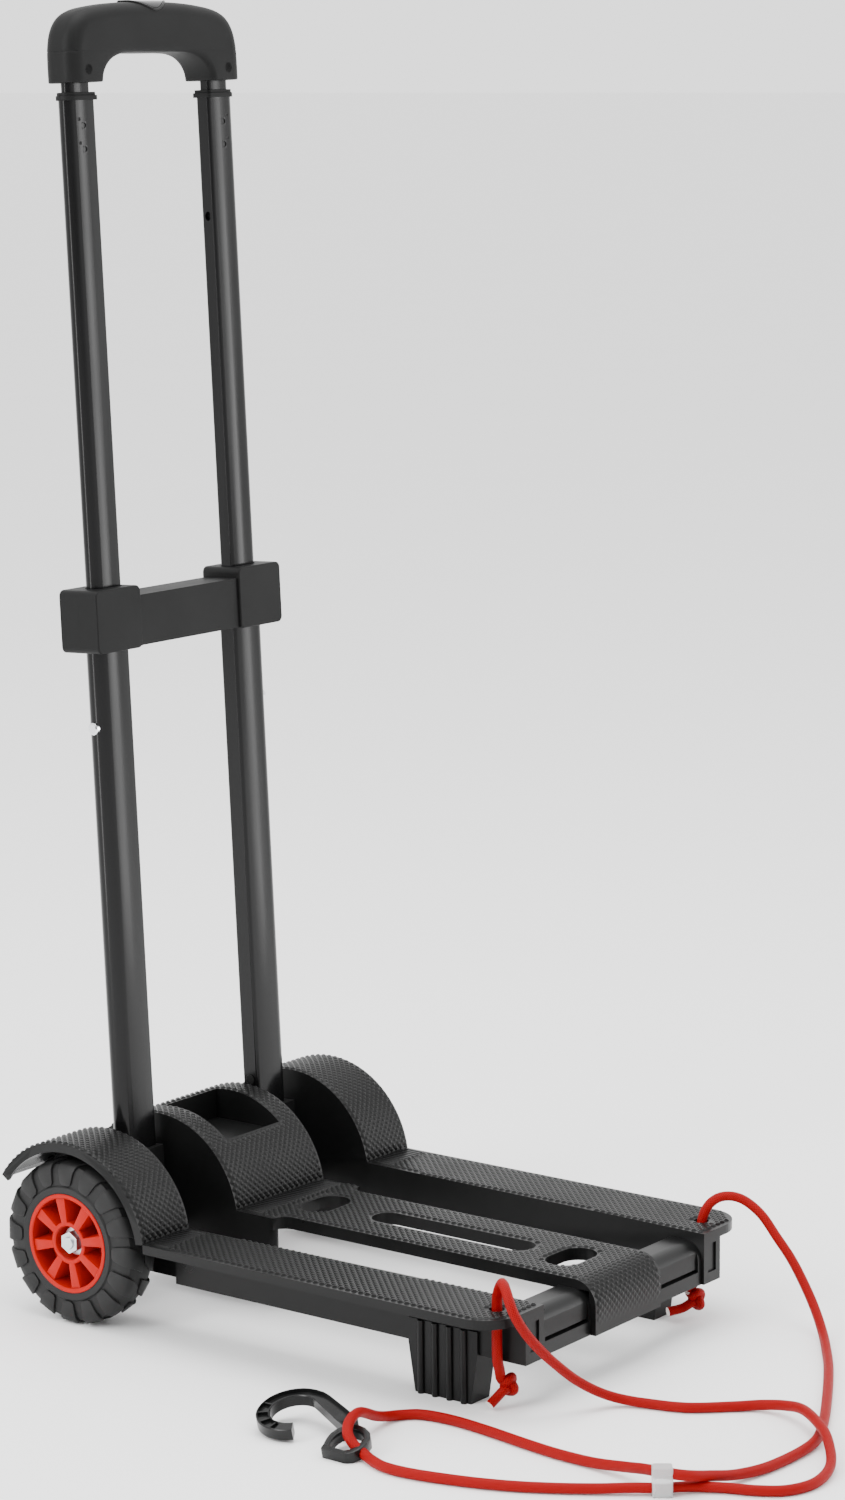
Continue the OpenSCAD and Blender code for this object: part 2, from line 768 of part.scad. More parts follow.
module middle_tube() {
    color(satin_black) on_mast() difference() {
        tube(middle_w, middle_d, middle_bottom, middle_top);
        side_hole(tube_x + middle_w / 2 - 4, tube_x + middle_w, latch_z, latch_r + touch);
        side_hole(tube_x - middle_w, tube_x - 3, lock_hole_z, 3);
        // Two crimp dimples that keep the collar's guide in place
        for (z = [middle_top - 12, middle_top - 27])
            translate([tube_x + 4, -middle_d / 2 - 1.4, z]) sphere(1.9);
    }
}

module middle_tube_right() { middle_tube(); }
module middle_tube_left() { left_half() middle_tube(); }

module collar() {
    color(black) on_mast() translate([tube_x, 0, 0]) difference() {
        union() {
            translate([0, 0, middle_top]) linear_extrude(collar_h - 2)
                tube_section(middle_w + 2.4, middle_d + 2.4);
            translate([0, 0, middle_top + collar_h - 2 - eps]) linear_extrude(2)
                tube_section(middle_w + 0.8, middle_d + 0.8);
        }
        translate([0, 0, middle_top - 1]) linear_extrude(collar_h + 2)
            tube_section(inner_w + 0.5, inner_d + 0.5);
    }
}

module collar_right() { collar(); }
module collar_left() { left_half() collar(); }

// Foot plugs of the middle tubes, which guide them inside the lower tubes
module middle_plugs() {
    color(dark_grey) on_mast() both_sides() translate([tube_x, 0, middle_bottom]) {
        translate([0, 0, -5]) linear_extrude(5)
            tube_section(lower_w - 2 * tube_wall - 0.5, lower_d - 2 * tube_wall - 0.5);
        linear_extrude(4) tube_section(middle_w - 2 * tube_wall - 0.1, middle_d - 2 * tube_wall - 0.1);
    }
}

// Folded leaf springs behind the latch buttons
module latch_springs() {
    x_out = middle_w / 2 - tube_wall - 0.6;
    color(steel) on_mast() both_sides() translate([tube_x, 0, 0]) along(-2.5, 2.5) {
        polygon([[x_out - 1, latch_z + 6], [x_out, latch_z + 6], [x_out, latch_z - 4],
            [x_out - 8, middle_bottom + 4], [x_out - 9, middle_bottom + 4], [x_out - 1, latch_z - 4]]);
        polygon([[x_out - 9, middle_bottom + 4], [x_out - 8, middle_bottom + 4],
            [x_out - 14, latch_z + 12], [x_out - 15, latch_z + 12]]);
    }
}

module inner_tube() {
    color(satin_black) on_mast() difference() {
        tube(inner_w, inner_d, inner_bottom, grip_foot + 18);
        side_hole(tube_x - inner_w, tube_x - 3, lock_pin_z, 2.6);
        // The grip's screw bites into the front wall
        translate([tube_x, -inner_d / 2 - 1, grip_foot + 8])
            rotate([-90, 0, 0])
                cylinder(h = tube_wall + 1.4, r = 1.6);
    }
}

module inner_tube_right() { inner_tube(); }
module inner_tube_left() { left_half() inner_tube(); }

// Front view of the grip: rounded shoulders and an arch for the fingers
module grip_outline(inset = 0) {
    r = 30 - inset;
    arch_r = 12 + inset;
    x1 = grip_half - inset;
    z1 = grip_top - inset;
    x_in = tube_x - grip_leg_w / 2 + inset;
    z_in = grip_arch + inset;
    difference() {
        union() {
            translate([-x1, grip_foot + inset]) square([2 * x1, z1 - r - grip_foot - inset]);
            translate([-x1 + r, grip_foot + inset]) square([2 * (x1 - r), z1 - grip_foot - inset]);
            for (s = [-1, 1]) translate([s * (x1 - r), z1 - r]) circle(r, $fn = 64);
        }
        translate([-x_in, grip_foot - 1]) square([2 * x_in, z_in - arch_r - grip_foot + 1]);
        translate([-x_in + arch_r, grip_foot - 1]) square([2 * (x_in - arch_r), z_in - grip_foot + 1]);
        for (s = [-1, 1]) translate([s * (x_in - arch_r), z_in - arch_r]) circle(arch_r);
    }
}

// Side view of the grip, rounded front and back
module grip_side() {
    r = grip_round;
    d = grip_d / 2;
    translate([-d + r, grip_foot - 1]) square([2 * (d - r), grip_top - grip_foot + 1]);
    translate([-d, grip_foot - 1]) square([2 * d, grip_top - grip_foot - r + 1]);
    for (s = [-1, 1]) translate([s * (d - r), grip_top - r]) circle(r);
}

module button_section(grow) {
    r = button_d / 2 + grow;
    square([2 * (button_half - button_d / 2), 2 * r], center = true);
    for (s = [-1, 1]) translate([s * (button_half - button_d / 2), 0]) circle(r);
}

grip_wall = 3;

module grip_shell(front) {
    y0 = front ? -grip_d / 2 : 0;
    y1 = front ? 0 : grip_d / 2;
    color(black) on_mast() difference() {
        intersection() {
            along(y0, y1) grip_outline();
            across(-grip_half, grip_half) grip_side();
        }
        // Channel for the yoke between the two legs
        translate([-tube_x, -yoke_d / 2 - 0.5, yoke_z - button_travel - 1])
            cube([2 * tube_x, yoke_d + 1, yoke_h + button_travel + 2]);
        both_sides() {
            // Seats of the inner tubes and room for the rods above them
            translate([tube_x, 0, grip_foot - 1]) linear_extrude(19.2)
                tube_section(inner_w + 0.1, inner_d + 0.1);
            translate([tube_x, 0, grip_foot + 10])
                cylinder(h = yoke_z + yoke_h - grip_foot - 8, r = rod_r + 1.2);
        }
        translate([0, 0, yoke_z]) linear_extrude(grip_top) button_section(touch);
        translate([0, 0, yoke_z - 12]) cylinder(h = 14, r = 4.2);
        grip_screw_places() {
            translate([0, -grip_d / 2 - 1, 0])
                rotate([-90, 0, 0])
                    cylinder(h = grip_d / 2 - inner_d / 2 + 1.5, r = 1.65);
            translate([0, -grip_d / 2 - 1, 0]) rotate([-90, 0, 0]) cylinder(h = 5, r = 3.3);
        }
    }
}

module grip_screw_places() {
    for (s = [-1, 1]) translate([s * tube_x, 0, grip_foot + 8]) children();
}

module grip_front() { grip_shell(true); }
module grip_rear() { grip_shell(false); }

module grip_screws() {
    color(steel) on_mast() grip_screw_places() {
        translate([0, -grip_d / 2 + 1.6, 0]) rotate([-90, 0, 0]) cylinder(h = 2.4, r = 3.1);
        translate([0, -grip_d / 2 + 3, 0])
            rotate([-90, 0, 0])
                cylinder(h = grip_d / 2 - inner_d / 2 + tube_wall - 2.6, r = 1.6);
    }
}

// Release: button on a yoke, with a rod down each inner tube
rod_r = 2;
yoke_d = 6;
yoke_h = 6;
yoke_z = grip_top - 19;
pin_r = 2.5;

module release_button() {
    z0 = yoke_z + yoke_h;
    color(satin_black) on_mast() intersection() {
        translate([0, 0, z0]) linear_extrude(grip_top - z0) button_section(0);
        across(-button_half, button_half) union() {
            translate([-button_d / 2, z0]) square([button_d, grip_top - 2.2 - z0]);
            translate([0, grip_top - 12.6]) circle(12);
        }
    }
}

module release_yoke() {
    color(dark_grey) on_mast() difference() {
        translate([-tube_x + 3, -yoke_d / 2, yoke_z]) cube([2 * tube_x - 6, yoke_d, yoke_h]);
        both_sides() translate([tube_x, 0, yoke_z - 1]) cylinder(h = yoke_h + 2, r = rod_r + 0.01);
    }
}

module push_rods() {
    color(steel) on_mast() both_sides()
        translate([tube_x, 0, lock_pin_z + 7]) cylinder(h = yoke_z + yoke_h - lock_pin_z - 7, r = rod_r);
}

module button_spring() {
    color(steel) on_mast() translate([0, 0, yoke_z - 11.5]) difference() {
        cylinder(h = 11.3, r = 3.6);
        translate([0, 0, -1]) cylinder(h = 14, r = 2.6);
    }
}

// Plugs in the feet of the inner tubes, which carry the lock pins
module inner_plugs() {
    w = inner_w - 2 * tube_wall - 0.1;
    d = inner_d - 2 * tube_wall - 0.1;
    color(dark_grey) on_mast() both_sides() difference() {
        union() {
            translate([tube_x, 0, inner_bottom]) linear_extrude(plug_h) tube_section(w, d);
            translate([tube_x, 0, inner_bottom - 4]) linear_extrude(4)
                tube_section(middle_w - 2 * tube_wall - 0.5, middle_d - 2 * tube_wall - 0.5);
        }
        side_hole(tube_x - inner_w, tube_x + 3, lock_pin_z, pin_r + run_fit);
        translate([tube_x, 0, lock_pin_z + 2]) cylinder(h = plug_h, r = rod_r + 0.3);
    }
}

module lock_pin() {
    color(steel) on_mast() translate([0, 0, lock_pin_z])
        rod_x(tube_x - middle_w / 2 + tube_wall + 0.15, tube_x - 1.6, pin_r);
}

module lock_pin_right() { lock_pin(); }
module lock_pin_left() { left_half() lock_pin(); }

// ---------- wheels ----------

spokes = 8;
hub_in = boss_end + touch / 2 + washer_t + touch;

module tyre() {
    shoulder = 6;
    color("#343536") from_axle() rotate([0, 90, 0]) rotate_extrude($fn = 96) difference() {
        translate([hub_r, wheel_in]) square([wheel_r - hub_r, tyre_w]);
        for (s = [0, 1]) translate([wheel_r - shoulder, wheel_in + (s ? tyre_w - shoulder : shoulder)])
            difference() {
                translate([0, s ? 0 : -shoulder - 1]) square(shoulder + 1);
                circle(shoulder);
            }
    }
}

module hub() {
    rim_in = hub_r - 3;
    nave_r = recess_r + 3;
    web = 9;
    color(red) from_axle() rotate([0, 90, 0]) {
        difference() {
            union() {
                translate([0, 0, wheel_in]) difference() {
                    cylinder(h = tyre_w, r = hub_r, $fn = 96);
                    translate([0, 0, -1]) cylinder(h = tyre_w + 2, r = rim_in, $fn = 96);
                }
                translate([0, 0, hub_in]) cylinder(h = half_width - 2 - hub_in, r = nave_r);
                translate([0, 0, half_width - 4 - 16]) cylinder(h = 3, r = rim_in + eps);
                for (k = [0:spokes - 1]) rotate([0, 0, 360 * k / spokes])
                    translate([nave_r - 2, -web / 3, half_width - 19])
                        cube([rim_in - nave_r + 3, web * 2 / 3, 16]);
            }
            translate([0, 0, recess_floor]) cylinder(h = tyre_w, r = recess_r);
            translate([0, 0, hub_in - 1]) cylinder(h = tyre_w, r = hub_bore_r);
        }
    }
}

module hub_bush() {
    color("#e9e6dd") from_axle()
        ring_x(hub_in, recess_floor - hub_in, axle_r + run_fit, hub_bore_r - 0.01);
}

module tyre_right() { tyre(); }
module tyre_left() { left_half() tyre(); }
module hub_right() { hub(); }
module hub_left() { left_half() hub(); }
module hub_bush_right() { hub_bush(); }
module hub_bush_left() { left_half() hub_bush(); }

side_rail_left();
side_rail_right();
centre_deck();
front_bar();
rear_bar();
foot_left();
foot_right();
axle();
axle_washers();
axle_nuts();
axle_spacers();
wrap_screws();
cord_knot_left();
cord_knot_right();
bungee_cord();
cord_hook();
cord_clip();
shoe_left();
shoe_right();
lower_tube_left();
lower_tube_right();
shoe_rivets();
bracket_front();
bracket_rear();
bracket_screws();
latch_button_left();
latch_button_right();
middle_tube_left();
middle_tube_right();
collar_left();
collar_right();
middle_plugs();
latch_springs();
inner_tube_left();
inner_tube_right();
grip_front();
grip_rear();
grip_screws();
inner_plugs();
button_spring();
release_button();
release_yoke();
push_rods();
lock_pin_left();
lock_pin_right();
tyre_left();
hub_left();
hub_bush_left();
tyre_right();
hub_right();
hub_bush_right();
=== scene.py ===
import math

import bmesh
import bpy
from bpy.props import FloatProperty, FloatVectorProperty, IntProperty, PointerProperty
from mathutils import Matrix, Vector


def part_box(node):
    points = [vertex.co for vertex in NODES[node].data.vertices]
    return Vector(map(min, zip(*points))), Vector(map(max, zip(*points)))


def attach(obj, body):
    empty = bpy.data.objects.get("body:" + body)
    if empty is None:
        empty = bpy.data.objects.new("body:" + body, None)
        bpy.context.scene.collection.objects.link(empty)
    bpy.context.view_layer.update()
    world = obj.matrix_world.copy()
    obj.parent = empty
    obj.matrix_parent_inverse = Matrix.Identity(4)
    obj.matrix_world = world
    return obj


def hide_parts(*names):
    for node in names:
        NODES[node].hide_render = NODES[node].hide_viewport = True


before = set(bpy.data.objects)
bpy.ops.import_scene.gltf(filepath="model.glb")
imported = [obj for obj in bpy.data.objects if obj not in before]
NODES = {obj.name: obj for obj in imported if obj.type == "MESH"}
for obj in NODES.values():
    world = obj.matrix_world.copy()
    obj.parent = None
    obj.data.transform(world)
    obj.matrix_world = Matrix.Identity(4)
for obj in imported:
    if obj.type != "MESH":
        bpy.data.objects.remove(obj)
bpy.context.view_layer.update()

bl_info = {
    "name": "Folding Hand Truck",
    "version": (1, 0, 0),
    "blender": (4, 5, 0),
    "location": "3D View > Sidebar > Hand Truck",
    "description": "Fine shapes and finishes of a folding hand truck with an elastic cord",
    "category": "Object",
}

SIDES = {"left": -1, "right": 1}

MM = 0.001


def middle_of(node):
    """Middle of a node's box, in millimetres"""
    return (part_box(node)[0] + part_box(node)[1]) / 2 / MM


AXLE = middle_of("axle")
MAST_LEAN = math.radians(2.6)
FROM_AXLE = Matrix.Translation(AXLE)
ON_MAST = FROM_AXLE @ Matrix.Rotation(-MAST_LEAN, 4, "X")
TO_METRES = Matrix.Scale(MM, 4)

# Route of the elastic cord, from the left knot to the right knot, in metres
CORD_ROUTE = [
    (-0.106, -0.179, 0.02), (-0.1095, -0.1805, 0.027), (-0.113, -0.1815, 0.037),
    (-0.113, -0.1815, 0.066), (-0.1136, -0.1825, 0.076), (-0.1185, -0.1895, 0.0853),
    (-0.127, -0.1985, 0.0845), (-0.131, -0.2065, 0.074), (-0.1235, -0.21, 0.0597),
    (-0.1105, -0.213, 0.0448), (-0.0986, -0.2165, 0.0331), (-0.0855, -0.221, 0.0214),
    (-0.0715, -0.2275, 0.0115), (-0.06, -0.236, 0.0055), (-0.0525, -0.251, 0.0034),
    (-0.0445, -0.275, 0.0034), (-0.026, -0.297, 0.0034), (-0.017, -0.31, 0.0044),
    (-0.017, -0.327, 0.0075), (-0.026, -0.346, 0.0112), (-0.045, -0.37, 0.011),
    (-0.062, -0.386, 0.008), (-0.084, -0.4, 0.0048), (-0.108, -0.405, 0.0034),
    (-0.128, -0.399, 0.0034), (-0.139, -0.385, 0.0034), (-0.147, -0.366, 0.0034),
    (-0.158, -0.35, 0.0038), (-0.17, -0.34, 0.0044), (-0.18, -0.325, 0.0042),
    (-0.191, -0.309, 0.0036), (-0.203, -0.29, 0.0034), (-0.214, -0.27, 0.0034),
    (-0.223, -0.248, 0.0034), (-0.23, -0.224, 0.0034), (-0.234, -0.204, 0.0034),
    (-0.234, -0.188, 0.0034), (-0.23, -0.176, 0.0035), (-0.2265, -0.167, 0.0046),
    (-0.226, -0.1595, 0.0082), (-0.2245, -0.1535, 0.013), (-0.219, -0.1495, 0.017),
    (-0.211, -0.147, 0.0192), (-0.202, -0.1448, 0.0186), (-0.192, -0.1422, 0.0146),
    (-0.181, -0.1398, 0.0094), (-0.169, -0.1384, 0.0052), (-0.158, -0.141, 0.0034),
    (-0.15, -0.15, 0.0034), (-0.147, -0.164, 0.0034), (-0.147, -0.182, 0.0034),
    (-0.15, -0.207, 0.0034), (-0.154, -0.232, 0.0034), (-0.157, -0.258, 0.0034),
    (-0.158, -0.284, 0.004), (-0.16, -0.306, 0.007), (-0.165, -0.324, 0.011),
    (-0.169, -0.34, 0.0136), (-0.1625, -0.352, 0.0124), (-0.147, -0.3575, 0.0088),
    (-0.126, -0.364, 0.0048), (-0.098, -0.37, 0.0034), (-0.056, -0.37, 0.0034),
    (-0.024, -0.358, 0.0034), (0.024, -0.332, 0.0034), (0.068, -0.306, 0.0034),
    (0.095, -0.288, 0.004), (0.115, -0.273, 0.007), (0.128, -0.259, 0.017), (0.134, -0.247, 0.03),
    (0.136, -0.236, 0.044), (0.1355, -0.225, 0.057), (0.135, -0.2125, 0.071),
    (0.1315, -0.1995, 0.0796), (0.1245, -0.189, 0.0805), (0.117, -0.183, 0.074),
    (0.113, -0.181, 0.06), (0.113, -0.181, 0.037), (0.109, -0.179, 0.026), (0.105, -0.177, 0.019),
]


def length_property(name, description, value, low, high):
    return FloatProperty(
        name=name, description=description, default=value, min=low, max=high, unit="LENGTH")


class HandTruckSizes(bpy.types.PropertyGroup):
    """Sizes of the fine shapes"""

    knurl_pitch: length_property(
        "Knurl pitch", "Distance between the studs of the knurled tops", 0.0036, 0.002, 0.008)
    knurl_height: length_property("Knurl height", "Height of one stud", 0.0011, 0.0002, 0.002)
    edge_radius: length_property(
        "Edge radius", "Rounding of the moulded edges", 0.0009, 0.0001, 0.0015)
    lug_count: IntProperty(
        name="Lugs", description="Tread blocks on each side of a tyre", default=16, min=8, max=24)
    cord_diameter: length_property(
        "Cord diameter", "Diameter of the elastic cord", 0.0065, 0.005, 0.008)


def colour_property(name, description, value):
    return FloatVectorProperty(
        name=name, description=description, default=value, min=0, max=1, size=3, subtype="COLOR")


class HandTruckColours(bpy.types.PropertyGroup):
    """Colours of the finishes"""

    moulded: colour_property("Moulded black", "Deck, bracket and grip", (0.0055, 0.0056, 0.0056))
    paint: colour_property("Tube paint", "Painted mast tubes", (0.004, 0.004, 0.0042))
    rubber: colour_property("Tyre rubber", "Both tyres", (0.008, 0.008, 0.008))
    hub: colour_property("Hub red", "Both hubs", (0.38, 0.005, 0.0015))
    cord: colour_property("Cord red", "Elastic cord and its knots", (0.26, 0.0006, 0.0010))
    floor: colour_property("Floor", "Studio floor", (0.98, 0.98, 0.98))


def sizes():
    return bpy.context.scene.hand_truck_sizes


def colours():
    return bpy.context.scene.hand_truck_colours


# ---------- finishes ----------

RANGE_SOCKETS = ("From Min", "From Max", "To Min", "To Max")


class Shading:
    """Short calls for building one node tree"""

    def __init__(self, tree):
        self.tree = tree

    def node(self, kind, **values):
        made = self.tree.nodes.new(kind)
        for name, value in values.items():
            setattr(made, name, value)
        return made

    def link(self, source, target):
        self.tree.links.new(source, target)

    def feed(self, target, value):
        if isinstance(value, bpy.types.NodeSocket):
            self.link(value, target)
        else:
            target.default_value = value

    def math(self, operation, first, second=0.0, clamp=False):
        made = self.node("ShaderNodeMath", operation=operation, use_clamp=clamp)
        self.feed(made.inputs[0], first)
        self.feed(made.inputs[1], second)
        return made.outputs[0]

    def noise(self, vector, scale, detail=2.0, roughness=0.5):
        made = self.node("ShaderNodeTexNoise")
        self.link(vector, made.inputs["Vector"])
        self.feed(made.inputs["Scale"], scale)
        self.feed(made.inputs["Detail"], detail)
        self.feed(made.inputs["Roughness"], roughness)
        return made.outputs["Fac"]

    def spread(self, value, low, high):
        """Maps 0.3 to 0.7, where most of a noise lies, to low to high"""
        made = self.node("ShaderNodeMapRange")
        self.feed(made.inputs["Value"], value)
        for name, number in zip(RANGE_SOCKETS, (0.3, 0.7, low, high)):
            self.feed(made.inputs[name], number)
        return made.outputs[0]


def new_group(name, inputs, outputs):
    tree = bpy.data.node_groups.new(name, "ShaderNodeTree")
    for label, kind, default in inputs:
        socket = tree.interface.new_socket(name=label, in_out="INPUT", socket_type=kind)
        if default is not None:
            socket.default_value = default
    for label, kind in outputs:
        tree.interface.new_socket(name=label, in_out="OUTPUT", socket_type=kind)
    shading = Shading(tree)
    return shading, shading.node("NodeGroupInput"), shading.node("NodeGroupOutput")


def moulded_skin_group():
    """Fine grain and slow unevenness of a moulded or painted surface"""
    if "Moulded Skin" in bpy.data.node_groups:
        return bpy.data.node_groups["Moulded Skin"]
    s, given, result = new_group(
        "Moulded Skin",
        [("Vector", "NodeSocketVector", None), ("Grain Scale", "NodeSocketFloat", 900.0),
         ("Flow Scale", "NodeSocketFloat", 18.0), ("Roughness Low", "NodeSocketFloat", 0.4),
         ("Roughness High", "NodeSocketFloat", 0.5), ("Dark", "NodeSocketColor", (0, 0, 0, 1)),
         ("Light", "NodeSocketColor", (0.1, 0.1, 0.1, 1))],
        [("Height", "NodeSocketFloat"), ("Roughness", "NodeSocketFloat"),
         ("Color", "NodeSocketColor")])
    grain = s.noise(given.outputs["Vector"], given.outputs["Grain Scale"], 3.0, 0.6)
    flow = s.noise(given.outputs["Vector"], given.outputs["Flow Scale"], 3.0, 0.55)
    rough = s.spread(flow, 0.0, 1.0)
    span = s.math("SUBTRACT", given.outputs["Roughness High"], given.outputs["Roughness Low"])
    s.link(grain, result.inputs["Height"])
    s.link(s.math("ADD", s.math("MULTIPLY", rough, span), given.outputs["Roughness Low"]),
           result.inputs["Roughness"])
    tone = s.node("ShaderNodeMix", data_type="RGBA")
    mixed = s.math("ADD", s.math("MULTIPLY", rough, 0.6), s.math("MULTIPLY", grain, 0.4),
                   clamp=True)
    s.link(mixed, tone.inputs["Factor"])
    s.link(given.outputs["Dark"], tone.inputs["A"])
    s.link(given.outputs["Light"], tone.inputs["B"])
    s.link(tone.outputs["Result"], result.inputs["Color"])
    return s.tree


def braid_group():
    """Crossing threads of a braided sleeve, from its U (along) and V (round), with painted shade
    for the grooves between the threads
    """
    if "Braid" in bpy.data.node_groups:
        return bpy.data.node_groups["Braid"]
    s, given, result = new_group(
        "Braid",
        [("UV", "NodeSocketVector", None), ("Threads Round", "NodeSocketFloat", 12.0),
         ("Threads Per Metre", "NodeSocketFloat", 640.0)],
        [("Height", "NodeSocketFloat"), ("Painted Groove Shade", "NodeSocketFloat")])
    split = s.node("ShaderNodeSeparateXYZ")
    s.link(given.outputs["UV"], split.inputs[0])
    along = s.math("MULTIPLY", split.outputs[0], given.outputs["Threads Per Metre"])
    around = s.math("MULTIPLY", split.outputs[1], given.outputs["Threads Round"])
    waves = []
    for operation in ("ADD", "SUBTRACT"):
        turns = s.math(operation, around, along)
        wave = s.math("SINE", s.math("MULTIPLY", turns, math.tau))
        waves.append(s.math("MULTIPLY_ADD", wave, 0.5))
        waves[-1].node.inputs[2].default_value = 0.5
    height = s.math("MAXIMUM", waves[0], waves[1])
    s.link(height, result.inputs["Height"])
    # Painted shade: this output is low in the grooves between threads, where the cord's colour
    # gets darker
    s.link(s.math("POWER", height, 1.6), result.inputs["Painted Groove Shade"])
    return s.tree


def new_material(name, base, **sockets):
    """An empty material with a Principled shader; returns it, its tree calls and the shader"""
    made = bpy.data.materials.new(name)
    made.use_nodes = True
    made.diffuse_color = (*base, 1)
    s = Shading(made.node_tree)
    shader = made.node_tree.nodes["Principled BSDF"]
    shader.inputs["Base Color"].default_value = (*base, 1)
    for label, value in sockets.items():
        shader.inputs[label.replace("_", " ")].default_value = value
    return made, s, shader


def bump(s, shader, height, strength, distance):
    made = s.node("ShaderNodeBump")
    made.inputs["Strength"].default_value = strength
    made.inputs["Distance"].default_value = distance
    s.link(height, made.inputs["Height"])
    s.link(made.outputs["Normal"], shader.inputs["Normal"])


def skin_material(name, base, rough, grain, depth, tone, flow=18.0, stretch=1.0, shine=0.5,
                  **sockets):
    """Plastic, paint or rubber with grain, uneven gloss and a slight change of tone"""
    if name in bpy.data.materials:
        return bpy.data.materials[name]
    made, s, shader = new_material(name, base, Specular_IOR_Level=shine, **sockets)
    place = s.node("ShaderNodeTexCoord")
    skin = s.node("ShaderNodeGroup", node_tree=moulded_skin_group())
    drawn = s.node("ShaderNodeMapping")
    drawn.inputs["Scale"].default_value = (1, 1, stretch)
    s.link(place.outputs["Object"], drawn.inputs["Vector"])
    s.link(drawn.outputs["Vector"], skin.inputs["Vector"])
    for label, value in (("Grain Scale", grain), ("Flow Scale", flow),
                         ("Roughness Low", rough[0]), ("Roughness High", rough[1]),
                         ("Dark", (*[c * (1 - tone) for c in base], 1)),
                         ("Light", (*[min(1, c * (1 + tone)) for c in base], 1))):
        skin.inputs[label].default_value = value
    s.link(skin.outputs["Color"], shader.inputs["Base Color"])
    s.link(skin.outputs["Roughness"], shader.inputs["Roughness"])
    bump(s, shader, skin.outputs["Height"], 0.6, depth)
    return made


def moulded_black():
    return skin_material("Moulded black plastic", colours().moulded, (0.27, 0.37), 1100, 0.00003,
                         0.18, shine=0.17)


def soft_black():
    return skin_material("Soft black plastic", colours().moulded, (0.48, 0.58), 1400, 0.00003,
                         0.15, shine=0.13)


def tube_paint():
    return skin_material("Black tube paint", colours().paint, (0.12, 0.22), 700, 0.00001, 0.2,
                         flow=90.0, stretch=0.03, shine=0.2)


def black_screw():
    return skin_material("Blackened screw", (0.05, 0.05, 0.052), (0.35, 0.45), 500, 0.00002, 0.12,
                         Metallic=1.0)


def gloss_black():
    return skin_material("Gloss black plastic", (0.012, 0.012, 0.013), (0.12, 0.17), 600, 0.00001,
                         0.1)


def hook_black():
    return skin_material("Hook plastic", colours().moulded, (0.2, 0.3), 500, 0.00003, 0.2,
                         shine=0.25)


def tyre_rubber():
    return skin_material("Tyre rubber", colours().rubber, (0.5, 0.62), 1000, 0.00005, 0.16,
                         flow=30.0, shine=0.25)


def hub_red():
    return skin_material("Red hub plastic", colours().hub, (0.30, 0.40), 900, 0.00002, 0.06,
                         shine=0.14)


def natural_nylon():
    return skin_material("Natural nylon", (0.72, 0.70, 0.64), (0.4, 0.5), 900, 0.00002, 0.06)


def zinc_steel():
    return skin_material("Zinc plated steel", (0.60, 0.62, 0.65), (0.24, 0.34), 500, 0.00002, 0.12,
                         Metallic=1.0)


def polished_steel():
    return skin_material("Polished steel", (0.78, 0.79, 0.81), (0.08, 0.14), 300, 0.000005, 0.06,
                         Metallic=1.0)


def clear_plastic():
    return skin_material("Clear clip plastic", (0.80, 0.82, 0.82), (0.22, 0.34), 300, 0.00004,
                         0.06, Transmission_Weight=0.55, IOR=1.45)


def braided_cord():
    name = "Braided red cord"
    if name in bpy.data.materials:
        return bpy.data.materials[name]
    base = colours().cord
    made, s, shader = new_material(name, base, Roughness=0.52, Specular_IOR_Level=0.1)
    weave = s.node("ShaderNodeGroup", node_tree=braid_group())
    uv = s.node("ShaderNodeUVMap", uv_map="Along")
    s.link(uv.outputs["UV"], weave.inputs["UV"])
    # Painted shade and highlight: the red darkens to half in the grooves between threads and is a
    # little lighter on the thread crests
    painted_groove_shade = s.node("ShaderNodeMix", data_type="RGBA")
    painted_groove_shade.inputs["A"].default_value = (*[c * 0.5 for c in base], 1)
    painted_groove_shade.inputs["B"].default_value = (min(1, base[0] * 1.15), base[1] * 1.6, base[2] * 1.5, 1)
    s.link(weave.outputs["Painted Groove Shade"], painted_groove_shade.inputs["Factor"])
    s.link(painted_groove_shade.outputs["Result"], shader.inputs["Base Color"])
    bump(s, shader, weave.outputs["Height"], 0.7, 0.00022)
    return made


def cord_core():
    return skin_material("Rubber core of the cord", (0.75, 0.70, 0.66), (0.6, 0.7), 900, 0.0001,
                         0.2)


# ---------- mesh helpers ----------

def smooth_line(points, step):
    """Points about step apart on a smooth curve through the given ones"""
    p = [Vector(q) for q in points]
    p = [2 * p[0] - p[1]] + p + [2 * p[-1] - p[-2]]
    line = []
    for a, b, c, d in zip(p, p[1:], p[2:], p[3:]):
        pieces = max(1, round((c - b).length / step))
        for k in range(pieces):
            t = k / pieces
            line.append(0.5 * (2 * b + (c - a) * t + (2 * a - 5 * b + 4 * c - d) * t * t
                               + (3 * b - a - 3 * c + d) * t ** 3))
    return line + [p[-2]]


def put(bm, name, body, materials, replaces=(), place=TO_METRES, sharp=38, even=False):
    """Makes one finished piece of a mesh in millimetres. even levels its shading."""
    bm.transform(place if place is TO_METRES else TO_METRES @ place)
    mesh = bpy.data.meshes.new(name)
    bm.to_mesh(mesh)
    bm.free()
    for material in materials:
        mesh.materials.append(material)
    mesh.polygons.foreach_set("use_smooth", [True] * len(mesh.polygons))
    mesh.set_sharp_from_angle(angle=math.radians(sharp))
    obj = bpy.data.objects.new(name, mesh)
    bpy.context.scene.collection.objects.link(obj)
    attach(obj, body)
    if replaces:
        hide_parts(*replaces)
    if even:
        levelled = obj.modifiers.new("Even normals", "WEIGHTED_NORMAL")
        levelled.keep_sharp = True
        levelled.weight = 70
    return obj


def box(bm, low, high):
    """A plain block between two corners; returns its vertices"""
    low, high = Vector(low), Vector(high)
    place = Matrix.Translation((low + high) / 2) @ Matrix.Diagonal((*(high - low), 1))
    return bmesh.ops.create_cube(bm, size=1, matrix=place)["verts"]


